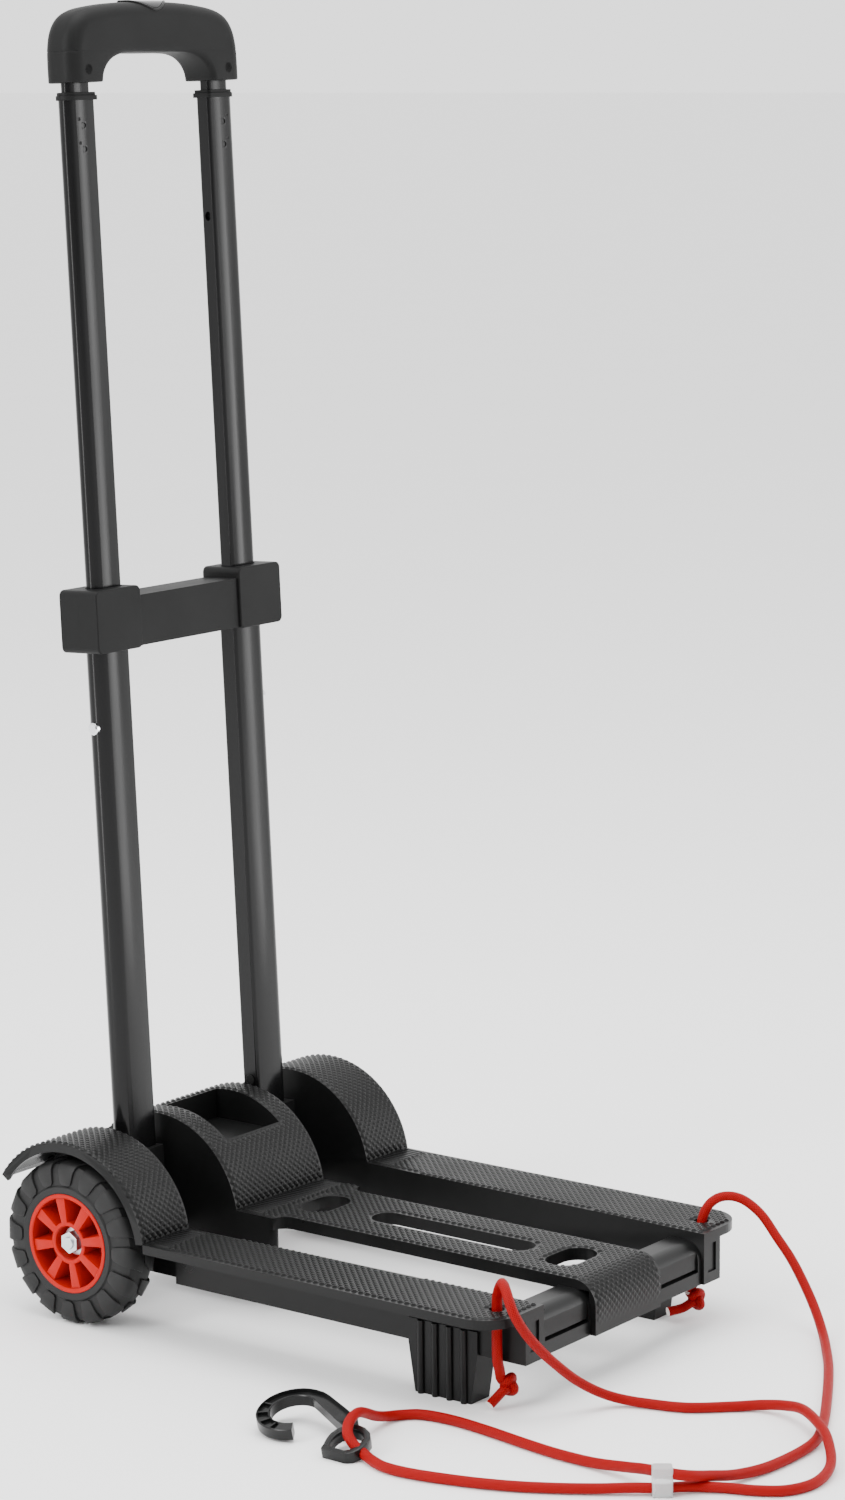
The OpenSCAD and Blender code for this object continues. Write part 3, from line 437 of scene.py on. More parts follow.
def whole(bm):
    return bm.verts[:] + bm.edges[:] + bm.faces[:]


def join_rings(bm, rings):
    """Faces between neighbouring rings of as many corners each"""
    for low, high in zip(rings, rings[1:]):
        for k in range(len(low)):
            n = (k + 1) % len(low)
            bm.faces.new((low[k], low[n], high[n], high[k]))


def add_part(bm, part):
    """Moves all of a mesh into another one"""
    carrier = bpy.data.meshes.new("Carrier")
    part.to_mesh(carrier)
    part.free()
    bm.from_mesh(carrier)
    bpy.data.meshes.remove(carrier)


def bevel(bm, edges, width, segments=2):
    bmesh.ops.bevel(bm, geom=list(edges), offset=width, offset_type="OFFSET", affect="EDGES",
                    segments=segments, profile=0.5, material=-1, clamp_overlap=True,
                    loop_slide=True)


def sharp_edges(bm, angle=38):
    limit = math.radians(angle)
    return [e for e in bm.edges if len(e.link_faces) == 2 and e.calc_face_angle(0) > limit]


def outline_solid(bm, outline, thickness):
    """A plate of the outline, thickened by a vector; returns the moved corners"""
    face = bm.faces.new([bm.verts.new(p) for p in outline])
    grown = bmesh.ops.extrude_face_region(bm, geom=[face])["geom"]
    raised = [v for v in grown if isinstance(v, bmesh.types.BMVert)]
    bmesh.ops.translate(bm, verts=raised, vec=thickness)
    return raised


def revolve(bm, profile, steps=96):
    """Turns a closed profile of (x, radius) points about the X axis"""
    verts = [bm.verts.new((x, r, 0)) for x, r in profile]
    edges = [bm.edges.new(pair) for pair in zip(verts, verts[1:] + verts[:1])]
    bmesh.ops.spin(bm, geom=verts + edges, cent=(0, 0, 0), axis=(1, 0, 0), angle=math.tau,
                   steps=steps, use_merge=True, use_duplicate=False)
    bmesh.ops.remove_doubles(bm, verts=bm.verts, dist=0.001)


def cad_copy(*nodes):
    """The merged mesh of CAD nodes, in millimetres, with its flat faces in one piece each"""
    bm = bmesh.new()
    for node in nodes:
        bm.from_mesh(NODES[node].data)
    bm.transform(Matrix.Scale(1 / MM, 4))
    bmesh.ops.remove_doubles(bm, verts=bm.verts, dist=0.002)
    bmesh.ops.dissolve_limit(bm, angle_limit=math.radians(0.4), verts=bm.verts, edges=bm.edges,
                             use_dissolve_boundaries=False, delimit=set())
    return bm


def refined(node, body, material, radius=None, segments=2, sharp=38):
    """A CAD node with rounded edges, in place of the node"""
    bm = cad_copy(node)
    radius = sizes().edge_radius / MM if radius is None else radius
    if radius:
        bevel(bm, sharp_edges(bm, sharp), radius, segments)
    put(bm, node + "_finished", body, [material], [node], sharp=sharp, even=True)


def sweep(bm, line, ring, uv_scale=None):
    """Carries rings of corners along a line and closes the ends, which it returns.
    ring(i, side, up) gives the corners of station i."""
    tangents = [(line[min(i + 1, len(line) - 1)] - line[max(i - 1, 0)]).normalized()
                for i in range(len(line))]
    first = tangents[0]
    side = first.cross(Vector((0, 0, 1)) if abs(first.z) < 0.8 else Vector((0.6, -0.8, 0)))
    layer = bm.loops.layers.uv.new("Along") if uv_scale else None
    rings, travelled, distance = [], [], 0.0
    for i, (centre, tangent) in enumerate(zip(line, tangents)):
        side = (side - side.dot(tangent) * tangent).normalized()
        up = tangent.cross(side)
        if i:
            distance += (centre - line[i - 1]).length
        travelled.append(distance)
        rings.append([bm.verts.new(p) for p in ring(i, side, up)])
    count = len(rings[0])
    for i in range(len(rings) - 1):
        for k in range(count):
            face = bm.faces.new((rings[i][k], rings[i][(k + 1) % count],
                                 rings[i + 1][(k + 1) % count], rings[i + 1][k]))
            if layer:
                corners = ((i, k), (i, k + 1), (i + 1, k + 1), (i + 1, k))
                for loop, (a, b) in zip(face.loops, corners):
                    loop[layer].uv = (travelled[a] * uv_scale, b / count)
    return bm.faces.new(rings[0][::-1]), bm.faces.new(rings[-1])


# ---------- knurled tops ----------

# Millimetres, with Y and Z counted from the axle
FENDER_RADIUS = 67.0
DECK_RISE = 11.0
DECK_FRONT = -345.0
FOLD_ANGLE = math.pi - math.asin(DECK_RISE / FENDER_RADIUS)
FENDER_END = math.radians(34)
STUD_CLEAR = 0.02
FOLD_Y = FENDER_RADIUS * math.cos(FOLD_ANGLE)


def on_fender(s):
    """Place and outward direction on the fender's arc, s millimetres behind the fold"""
    angle = FOLD_ANGLE - s / FENDER_RADIUS
    out = Vector((0, math.cos(angle), math.sin(angle)))
    return FENDER_RADIUS * out, out


def on_deck(s):
    """Place and outward direction on the deck, s millimetres in front of the fold"""
    return Vector((0, FOLD_Y - s, DECK_RISE)), Vector((0, 0, 1))


WRAP_RADIUS = 16.0
WRAP_FACE = -347.0
WRAP_START = FOLD_Y - (WRAP_FACE + WRAP_RADIUS)


def on_tongue(s):
    """As on_deck, then round the front bar and down its face"""
    if s <= WRAP_START:
        return on_deck(s)
    turned = min((s - WRAP_START) / WRAP_RADIUS, math.pi / 2)
    out = Vector((0, -math.sin(turned), math.cos(turned)))
    centre = Vector((0, WRAP_FACE + WRAP_RADIUS, DECK_RISE - WRAP_RADIUS))
    down = max(0.0, s - WRAP_START - WRAP_RADIUS * math.pi / 2)
    return centre + WRAP_RADIUS * out - Vector((0, 0, down)), out


def knurl(bm, x_range, s_range, where, keep, pitch_s=None, strength=lambda s: 1.0):
    """Studs on a surface in a diamond lattice, left out where keep(x, s) says so.
    With pitch_s they become straight ribs of that length."""
    pitch = sizes().knurl_pitch / MM
    height = sizes().knurl_height / MM
    wide, long = x_range[1] - x_range[0], s_range[1] - s_range[0]
    middle = Vector(((x_range[0] + x_range[1]) / 2, (s_range[0] + s_range[1]) / 2, 0))
    sheet = bmesh.new()
    if pitch_s:
        across, along = max(1, round(wide / pitch)), max(1, round(long / pitch_s))
        place = Matrix.Translation(middle) @ Matrix.Diagonal((wide, long, 1, 1))
    else:
        across = along = math.ceil((wide + long) / math.sqrt(2) / pitch)
        span = across * pitch
        place = Matrix.Translation(middle) @ Matrix.Rotation(math.pi / 4, 4, "Z") @ (
            Matrix.Diagonal((span, span, 1, 1)))
    bmesh.ops.create_grid(sheet, x_segments=across, y_segments=along, size=0.5, matrix=place)

    def wanted(x, s):
        return x_range[0] < x < x_range[1] and s_range[0] < s < s_range[1] and keep(x, s)

    unwanted = [f for f in sheet.faces if not wanted(*f.calc_center_median().xy)]
    bmesh.ops.delete(sheet, geom=unwanted, context="FACES")
    bmesh.ops.inset_individual(sheet, faces=sheet.faces, thickness=pitch * 0.4, depth=height)
    for v in sheet.verts:
        spot, out = where(v.co.y)
        lift = v.co.z * strength(v.co.y) + STUD_CLEAR
        v.co = AXLE + Vector((v.co.x, 0, 0)) + spot + out * lift
    bmesh.ops.recalc_face_normals(sheet, faces=sheet.faces)
    outward = where(s_range[0])[1]
    if sum(f.normal.dot(outward) for f in sheet.faces if abs(f.normal.dot(outward)) > 0.9) < 0:
        bmesh.ops.reverse_faces(sheet, faces=sheet.faces)
    add_part(bm, sheet)


RAIL_MARGIN = 2.0
TIP_RADIUS = 25.0
RAIL_OUTER = 140.0
RAIL_INNER = 94.0
RAIL_TAPER = 5.0
RAIL_NARROWEST = RAIL_INNER - 8
CORD_HOLE = Vector((113.0, -327.0))
CORD_HOLE_MARGIN = 7.5


def rail_inner_edge(y):
    """The rails come nearer to each other from the fold to the front"""
    return RAIL_INNER - RAIL_TAPER * (FOLD_Y - y) / (FOLD_Y - DECK_FRONT)


def on_rail_top(x, s):
    x, y = abs(x), FOLD_Y - s
    if not rail_inner_edge(y) + RAIL_MARGIN < x < RAIL_OUTER - RAIL_MARGIN:
        return False
    corner = Vector((RAIL_OUTER - TIP_RADIUS, DECK_FRONT + TIP_RADIUS))
    spot = Vector((x, y))
    if x > corner.x and y < corner.y and (spot - corner).length > TIP_RADIUS - RAIL_MARGIN - 1:
        return False
    return y > DECK_FRONT + RAIL_MARGIN + 1 and (spot - CORD_HOLE).length > CORD_HOLE_MARGIN


TONGUE_HALF = 36.5
HUMP_HALF = 46.0
HUMP_FRONT = FOLD_Y - 31
FLARE = HUMP_HALF - TONGUE_HALF
OVALS = (FOLD_Y - 38, DECK_FRONT + 42)
OVAL_STRAIGHT, OVAL_RADIUS = 8.0, 12.0
SLOT = (DECK_FRONT + 72, FOLD_Y - 80)
SLOT_RADIUS = 11.0
OPENING_MARGIN = 2.4


def on_tongue_top(x, s):
    x, y = abs(x), FOLD_Y - s
    half = TONGUE_HALF
    if y > HUMP_FRONT:
        half = HUMP_HALF
    elif y > HUMP_FRONT - FLARE:
        half = HUMP_HALF - math.sqrt(max(0.0, FLARE ** 2 - (y - HUMP_FRONT + FLARE) ** 2))
    if x > half - OPENING_MARGIN:
        return False
    for centre in OVALS:
        nearest = Vector((max(0.0, x - OVAL_STRAIGHT), y - centre))
        if nearest.length < OVAL_RADIUS + OPENING_MARGIN:
            return False
    inside = min(max(y, SLOT[0] + SLOT_RADIUS), SLOT[1] - SLOT_RADIUS)
    return Vector((x, y - inside)).length > SLOT_RADIUS + OPENING_MARGIN


WELL_HALF = 29.7
WELL_FRONT, WELL_BACK = -45.2, 14.2


def on_hump_top(x, s):
    """All of the hump's arc but its well and a margin round it"""
    y = on_fender(s)[0].y
    return not (abs(x) < WELL_HALF and WELL_FRONT < y < WELL_BACK)


def always(x, s):
    return True


FENDER_LENGTH = FENDER_RADIUS * (FOLD_ANGLE - FENDER_END)
RIB_PITCH = 17.0
RIB_START = 1.5
RIB_END = RIB_START + RIB_PITCH
FADE_LENGTH = 20.0
FADE_END = WRAP_START + 38


# ---------- cord, hook and clip ----------

CORD_STEP = 2.5
CREASE_SPREAD = 0.42
CREASE_TURN = math.tau * CORD_STEP / 900
KNOT_SIZE, KNOT_SHIFT, KNOT_DEPTH = 1.75, 2.4, 2.3
KNOT_REACH = 5.5
KNOT_DROP = 4.6
TAIL_START = 5.2


def cord_tube(bm, line, radius, steps, crease=0.0, turn=0.0):
    """A round bar along the line, with a groove that turns by turn at each point; returns its
    two end faces"""
    def ring(i, side, up):
        corners = []
        for k in range(steps):
            angle = math.tau * k / steps
            apart = abs((angle + turn * i + math.pi) % math.tau - math.pi)
            r = radius * (1 - crease * math.exp(-(apart / CREASE_SPREAD) ** 2))
            corners.append(line[i] + r * (math.cos(angle) * side + math.sin(angle) * up))
        return corners

    return sweep(bm, line, ring, uv_scale=MM)


def tie_knot(name, node, top, lean, tail, spare):
    """An overhand knot. The cord comes in from above, ties round itself towards lean, and
    ends in a short tail."""
    radius = sizes().cord_diameter / MM / 2
    lean, tail = Vector(lean).normalized(), Vector(tail).normalized()
    flat = lean.cross(Vector((0, 0, 1))).normalized()
    turn = []
    for k in range(3, 30):
        t = math.pi + math.tau * k / 32
        x, y = math.sin(t) + 2 * math.sin(2 * t), math.cos(t) - 2 * math.cos(2 * t)
        turn.append(KNOT_SIZE * (x * Vector((0, 0, 1)) + (y + KNOT_SHIFT) * lean)
                    + KNOT_DEPTH * math.sin(3 * t) * flat)
    if turn[0].z < turn[-1].z:
        turn.reverse()
    out = Vector((0, 0, -TAIL_START))
    wrap = [Vector((0, 0, KNOT_REACH)), *turn, out + tail * 4.5, out + tail * spare]
    place = Vector(top) - Vector((0, 0, KNOT_DROP))
    line = smooth_line([place + p for p in wrap], 0.8)
    lowest = radius + 0.1
    line = [p + Vector((0, 0, max(0.0, lowest - p.z))) for p in line]
    bm = bmesh.new()
    for end in cord_tube(bm, line, radius * 0.93, 14):
        end.material_index = 1
    return put(bm, name, "base", [braided_cord(), cord_core()], [node], sharp=60)


def sunk_bar(bm, stations, thickness, rim, sunk, soft=0.5):
    """A bar with a sunk top along (x, y, half width, share of the sunk depth) stations"""
    line = [Vector((x, y, 0)) for x, y, _, _ in stations]

    def ring(i, side, up):
        half, share = stations[i][2:]
        side = Vector((side.x, side.y, 0)).normalized()
        inner = half - rim
        flank = [(half, soft), (half, thickness - soft), (half - soft, thickness),
                 (inner + soft, thickness), (inner, thickness - sunk * share)]
        section = [*flank, *[(-x, z) for x, z in reversed(flank)], (soft - half, 0),
                   (half - soft, 0)]
        return [line[i] + side * x + Vector((0, 0, z)) for x, z in section]

    sweep(bm, line, ring)


def make_hook():
    """The flat hook with a sunk web, cross ribs and a D-shaped eye"""
    bm = bmesh.new()
    thick, rim, sunk = 7.5, 1.5, 2.2
    middle, half = 19.1, 4.3
    tip_angle, sweep_angle, steps = -145, 223, 40
    stations = []
    for k in range(steps + 1):
        angle = math.radians(tip_angle - k * sweep_angle / steps)
        share = min(1.0, max(0.0, (k - 5) / 1.5))
        stations.append((middle * math.cos(angle), middle * math.sin(angle), half, share))
    stations += [(19.0, -4.0, 4.4, 1.0), (17.2, -9.0, 4.8, 1.0), (14.0, -16.0, 5.0, 1.0),
                 (9.5, -26.0, 5.3, 1.0), (5.5, -34.5, 5.5, 1.0), (2.5, -41.0, 5.2, 0.0)]
    sunk_bar(bm, stations, thick, rim, sunk)
    for angle in (-186, -212, -240, -268):
        rib = box(bm, (15.4, -0.55, 1.0), (22.6, 0.55, thick - 0.5))
        bmesh.ops.transform(bm, verts=rib, matrix=Matrix.Rotation(math.radians(angle), 4, "Z"))
    eye = bmesh.new()
    outer = [(-28, -41.8), (-28.2, -58.6), (-25.6, -62.6), (-20.6, -64.8), (-13.5, -65.2),
             (-7.2, -63.6), (-2.2, -59.6), (0.8, -54.0), (1.8, -48.0), (-1.5, -41.4),
             (-7.0, -38.2), (-12.5, -37.6), (-18.0, -38.6), (-23.4, -40.6)]
    inner = [(-23.9, -45.6), (-24.2, -56.6), (-22.0, -59.2), (-18.6, -60.6), (-13.5, -60.9),
             (-9.0, -59.8), (-5.6, -57.0), (-3.7, -53.0), (-3.2, -48.4), (-5.4, -44.6),
             (-8.8, -42.6), (-12.8, -42.0), (-17.2, -42.6), (-21.0, -43.8)]
    rings = [[eye.verts.new((x, y, z)) for x, y in shape]
             for shape, z in ((outer, 0), (inner, 0), (inner, thick), (outer, thick))]
    join_rings(eye, [*rings, rings[0]])
    bmesh.ops.recalc_face_normals(eye, faces=eye.faces)
    bevel(eye, sharp_edges(eye, 50), 0.6)
    add_part(bm, eye)
    bmesh.ops.recalc_face_normals(bm, faces=bm.faces)
    axis = Vector((0.061, -0.998, 0)).normalized()
    place = Matrix.Translation((-209, -101.3, 7.1)) @ Matrix.Rotation(math.radians(14.5), 4, axis)
    return put(bm, "cord_hook_moulded", "base", [hook_black()], ["cord_hook"],
               place)


def make_clip():
    bm = bmesh.new()
    box(bm, (-6, -5, -9), (6, 5, 9))
    bevel(bm, bm.edges[:], 1.3, 3)
    place = Matrix.Translation((-170, -340, 9)) @ Matrix.Rotation(math.radians(-53), 4, "Z")
    return put(bm, "cord_clip_moulded", "base", [clear_plastic()], ["cord_clip"],
               place)


def make_cord():
    radius = sizes().cord_diameter / MM / 2
    route = [Vector(p) / MM for p in CORD_ROUTE]
    line = smooth_line(route, CORD_STEP)
    bm = bmesh.new()
    cord_tube(bm, line, radius, 18, crease=0.13, turn=CREASE_TURN)
    made = put(bm, "elastic_cord", "base", [braided_cord()], ["bungee_cord"], sharp=60)
    knots = [tie_knot("cord_knot_left_tied", "cord_knot_left", route[0], (0.8, -0.6, 0),
                      (-0.75, 0.3, -0.6), 10),
             tie_knot("cord_knot_right_tied", "cord_knot_right", route[-1], (0.5, -0.85, 0),
                      (-0.8, 0.5, -0.12), 15)]
    make_hook()
    make_clip()


# ---------- rails and centre deck ----------

def rounded_copy(node):
    bm = cad_copy(node)
    bevel(bm, sharp_edges(bm), sizes().edge_radius / MM)
    return bm


def put_moulding(bm, node):
    put(bm, node + "_moulding", "base", [moulded_black()], [node], sharp=30,
        even=True)


def make_side_rail(side):
    node = "side_rail_" + side
    bm = rounded_copy(node)
    across = sorted(SIDES[side] * x for x in (RAIL_NARROWEST, RAIL_OUTER))
    knurl(bm, across, (RIB_END, FOLD_Y - DECK_FRONT), on_deck, on_rail_top)
    knurl(bm, across, (RIB_START, RIB_END), on_deck, on_rail_top, RIB_PITCH)
    across = sorted(SIDES[side] * x for x in (RAIL_INNER + RAIL_MARGIN, RAIL_OUTER - RAIL_MARGIN))
    knurl(bm, across, (RIB_START, FENDER_LENGTH - 2), on_fender, always)
    put_moulding(bm, node)


def make_centre_deck():
    bm = rounded_copy("centre_deck")

    def fading(s):
        return max(0.0, min(1.0, (FADE_END - s) / FADE_LENGTH))

    span = (-HUMP_HALF, HUMP_HALF)
    knurl(bm, span, (RIB_END, FADE_END), on_tongue, on_tongue_top, strength=fading)
    knurl(bm, span, (RIB_START, RIB_END), on_tongue, on_tongue_top, RIB_PITCH)
    knurl(bm, (2 - HUMP_HALF, HUMP_HALF - 2), (RIB_START, FENDER_LENGTH - 2), on_fender,
          on_hump_top)
    put_moulding(bm, "centre_deck")


# ---------- tubes and bracket ----------

TUBE_CENTRE = middle_of("lower_tube_right").x
DENT_HEIGHTS = (718, 703)
DENT_RADIUS, DENT_DEPTH = 2.0, 0.5
TUBE_BULGE, BULGE_SHIFT = 0.15, 0.1
BULGE_STEPS = 12
OFF_EDGES = 0.013


def mast_copy(node):
    """A CAD node of the mast, set upright, and the place of its outermost face in Y"""
    bm = cad_copy(node)
    bmesh.ops.transform(bm, verts=bm.verts, matrix=ON_MAST.inverted())
    return bm, max(abs(v.co.y) for v in bm.verts)


def make_tube(node, body, dents=()):
    """A mast tube whose broad faces bulge slightly, with pressed dents in the front"""
    sign = SIDES[node.rsplit("_", 1)[1]]
    bm, face = mast_copy(node)
    low, high = min(v.co.x for v in bm.verts), max(v.co.x for v in bm.verts)
    for z in dents:
        sink_hole(bm, Vector((sign * TUBE_CENTRE, -face, z)), DENT_RADIUS, DENT_DEPTH)
    for k in range(1, BULGE_STEPS):
        x = low + (high - low) * k / BULGE_STEPS
        bmesh.ops.bisect_plane(bm, geom=whole(bm), dist=0.001, plane_co=(x + OFF_EDGES, 0, 0),
                               plane_no=(1, 0, 0))
    half = (high - low) / 2
    for v in bm.verts:
        away = (v.co.x - (low + high) / 2) * sign / half
        v.co.y *= 1 - TUBE_BULGE * (away - BULGE_SHIFT) ** 2
    bevel(bm, sharp_edges(bm, 50), 0.25)
    put(bm, node + "_finished", body, [tube_paint()], [node], ON_MAST, sharp=30,
        even=True)


def make_bracket(half):
    """Bracket half with generous rounding round its two housings"""
    node = "bracket_" + half
    bm, face = mast_copy(node)
    rim = [e for e in sharp_edges(bm, math.degrees(0.6))
           if all(abs(abs(v.co.y) - face) < 0.1 for v in e.verts)]
    bevel(bm, rim, 3.4, 5)
    bevel(bm, sharp_edges(bm, 50), 0.7, 2)
    put(bm, node + "_finished", "mast_lower", [soft_black()], [node], ON_MAST,
        sharp=35, even=True)


# ---------- wheels ----------

WHEEL_CENTRE = middle_of("tyre_right").x
TYRE_HALF = 15.0
SPOKES = 8


def tyre_profile():
    """The tyre's section without its tread blocks"""
    half = [(0.9 - TYRE_HALF, 33), (0.3 - TYRE_HALF, 34.5), (0.1 - TYRE_HALF, 37.5),
            (1.3 - TYRE_HALF, 38.6), (1.5 - TYRE_HALF, 45), (2.2 - TYRE_HALF, 49),
            (4.4 - TYRE_HALF, 52.0), (8 - TYRE_HALF, 53.2), (0, 53.4)]
    return half + [(-x, r) for x, r in half[-2::-1]]


def repeat_round(bm, count):
    """Fills the turn about X with equal copies"""
    bmesh.ops.spin(bm, geom=whole(bm), cent=(0, 0, 0), axis=(1, 0, 0),
                   angle=math.tau * (count - 1) / count, steps=count - 1, use_merge=False,
                   use_duplicate=True)


def lug(bm, outer):
    """One tread block: up the sidewall, over the shoulder and across half the tread.
    outer is 1 or -1, the sidewall that it starts on."""
    pitch = math.tau / sizes().lug_count
    rows = [(TYRE_HALF, 38.9, 0.34, 0), (TYRE_HALF, 40.6, 0.56, 0), (TYRE_HALF, 45.5, 0.63, -0.01),
            (14.6, 49.2, 0.66, -0.02), (13.2, 52.3, 0.67, -0.04), (10.6, 54.3, 0.66, -0.08),
            (7.0, 55.0, 0.62, -0.16), (3.5, 55.0, 0.56, -0.28), (0.8, 55.0, 0.44, -0.40)]
    under = [(13.0, 38.9), (12.6, 40.6), (12.4, 45.0), (12.0, 48.4), (11.0, 50.6), (9.4, 51.8),
             (6.6, 52.2), (3.5, 52.4), (0.8, 52.4)]
    rings = []
    for (x, r, width, shift), (ux, ur) in zip(rows, under):
        corners = []
        for px, pr, turn in ((x, r, -0.5), (x, r, 0.5), (ux, ur, 0.5), (ux, ur, -0.5)):
            angle = pitch * (width * turn + shift * outer)
            corners.append(bm.verts.new((outer * px, pr * math.cos(angle), pr * math.sin(angle))))
        rings.append(corners)
    join_rings(bm, rings)
    bm.faces.new(rings[0][::-1])
    bm.faces.new(rings[-1])
    bmesh.ops.recalc_face_normals(bm, faces=bm.faces)


def make_tyre(side):
    node = "tyre_" + side
    sign = SIDES[side]
    tread = bmesh.new()
    for outer in (1, -1):
        block = bmesh.new()
        lug(block, outer)
        bevel(block, sharp_edges(block, 40), 0.55, 2)
        if outer < 0:
            bmesh.ops.rotate(block, verts=block.verts, cent=(0, 0, 0),
                             matrix=Matrix.Rotation(math.pi / sizes().lug_count, 3, "X"))
        repeat_round(block, sizes().lug_count)
        add_part(tread, block)
    revolve(tread, tyre_profile(), 96)
    bmesh.ops.recalc_face_normals(tread, faces=tread.faces)
    place = FROM_AXLE @ Matrix.Translation((sign * WHEEL_CENTRE, 0, 0)) @ (
        Matrix.Rotation(0 if sign > 0 else math.pi, 4, "Z"))
    put(tread, node + "_tread", "wheel_" + side, [tyre_rubber()], [node], place,
        sharp=35)


def make_hub(side):
    node = "hub_" + side
    bm = bmesh.new()
    rim = [(110.6, 29.8), (110.4, 33), (139.4, 33), (139.8, 32.6), (139.8, 30.6), (139.2, 30.0)]
    web = [(120.5, 30.4), (123.5, 30.4), (123.5, 12), (120.5, 12)]
    barrel = [(108.8, 6.8), (108.8, 13.6), (137.6, 14.2), (138.2, 13.7), (138.2, 11.9),
              (137.6, 11.2), (129.0, 11.0), (129.0, 6.8)]
    revolve(bm, rim)
    revolve(bm, web)
    revolve(bm, barrel, 64)
    spoke = bmesh.new()
    wide, narrow = 4.6, 2.9
    low, high = 122.0, 138.4
    corners = [(29.9, -wide), (29.9, wide), (13.2, narrow), (13.2, -narrow)]
    raised = outline_solid(spoke, [(low, r, w) for r, w in corners], (high - low, 0, 0))
    for v in raised:
        v.co.z *= 0.86
    bmesh.ops.recalc_face_normals(spoke, faces=spoke.faces)
    bevel(spoke, [e for e in spoke.edges if all(v.co.x > high - 0.1 for v in e.verts)], 0.5)
    bmesh.ops.rotate(spoke, verts=spoke.verts, cent=(0, 0, 0),
                     matrix=Matrix.Rotation(math.radians(180 - 12), 3, "X"))
    repeat_round(spoke, SPOKES)
    add_part(bm, spoke)
    bmesh.ops.recalc_face_normals(bm, faces=bm.faces)
    if SIDES[side] < 0:
        bmesh.ops.scale(bm, vec=(-1, 1, 1), verts=bm.verts)
        bmesh.ops.reverse_faces(bm, faces=bm.faces)
    put(bm, node + "_moulded", "wheel_" + side, [hub_red()], [node], FROM_AXLE,
        sharp=32)


# ---------- grip ----------

GRIP_FOOT = 745
GRIP_DEPTH = 27.0
GRIP_SEAM = 764.6
SEAM_SINK = 0.25
SCREW_HEIGHT = 753
SCREW_RADIUS, SCREW_DEPTH = 3.3, 3.4
HOLE_CORNERS = 24

# Right halves of the grip's outer edge, from the foot to the middle of the bar, and of its
# finger arch, from the middle to the foot
GRIP_HALF = [(84.3, GRIP_FOOT), (84.3, 757), (83.6, 768), (80.6, 778.5), (74.5, 786.5), (65, 791),
             (50, 793.6), (30, 795.4), (0, 796.4)]
ARCH_HALF = [(0, 763.4), (22, 763.4), (34, 762.6), (43, 759.8), (49.5, 755), (52.8, 749.5),
             (53.6, GRIP_FOOT)]


def sink_hole(bm, spot, radius, deep):
    """A round blind hole in a flat face that looks along -Y"""
    around = radius + 0.9
    for axis in (Vector((1, 0, 0)), Vector((0, 0, 1))):
        for sign in (-1, 1):
            near = [f for f in bm.faces if f.normal.y < -0.99
                    and abs(f.calc_center_median().y - spot.y) < 0.05]
            geom = {g for f in near for g in (f, *f.edges, *f.verts)}
            bmesh.ops.bisect_plane(bm, geom=list(geom), dist=0.001,
                                   plane_co=spot + axis * sign * around, plane_no=axis)
    patch = []
    for f in bm.faces:
        off = f.calc_center_median() - spot
        if abs(off.y) < 0.05 and max(abs(off.x), abs(off.z)) < around:
            patch.append(f)
    inside = {e for f in patch for e in f.edges}
    rim = [e for e in inside if any(f not in patch for f in e.link_faces)]
    bmesh.ops.delete(bm, geom=patch, context="FACES")
    turns = [math.tau * k / HOLE_CORNERS for k in range(HOLE_CORNERS)]
    rings = [[bm.verts.new(spot + Vector((radius * math.cos(a), y, radius * math.sin(a))))
              for a in turns] for y in (0, deep)]
    mouth = rings[0]
    edges = [bm.edges.new(pair) for pair in zip(mouth, mouth[1:] + mouth[:1])]
    bmesh.ops.bridge_loops(bm, edges=[e for e in rim if e.is_valid] + edges)
    join_rings(bm, rings)
    bm.faces.new(rings[1])
    bmesh.ops.recalc_face_normals(bm, faces=bm.faces)


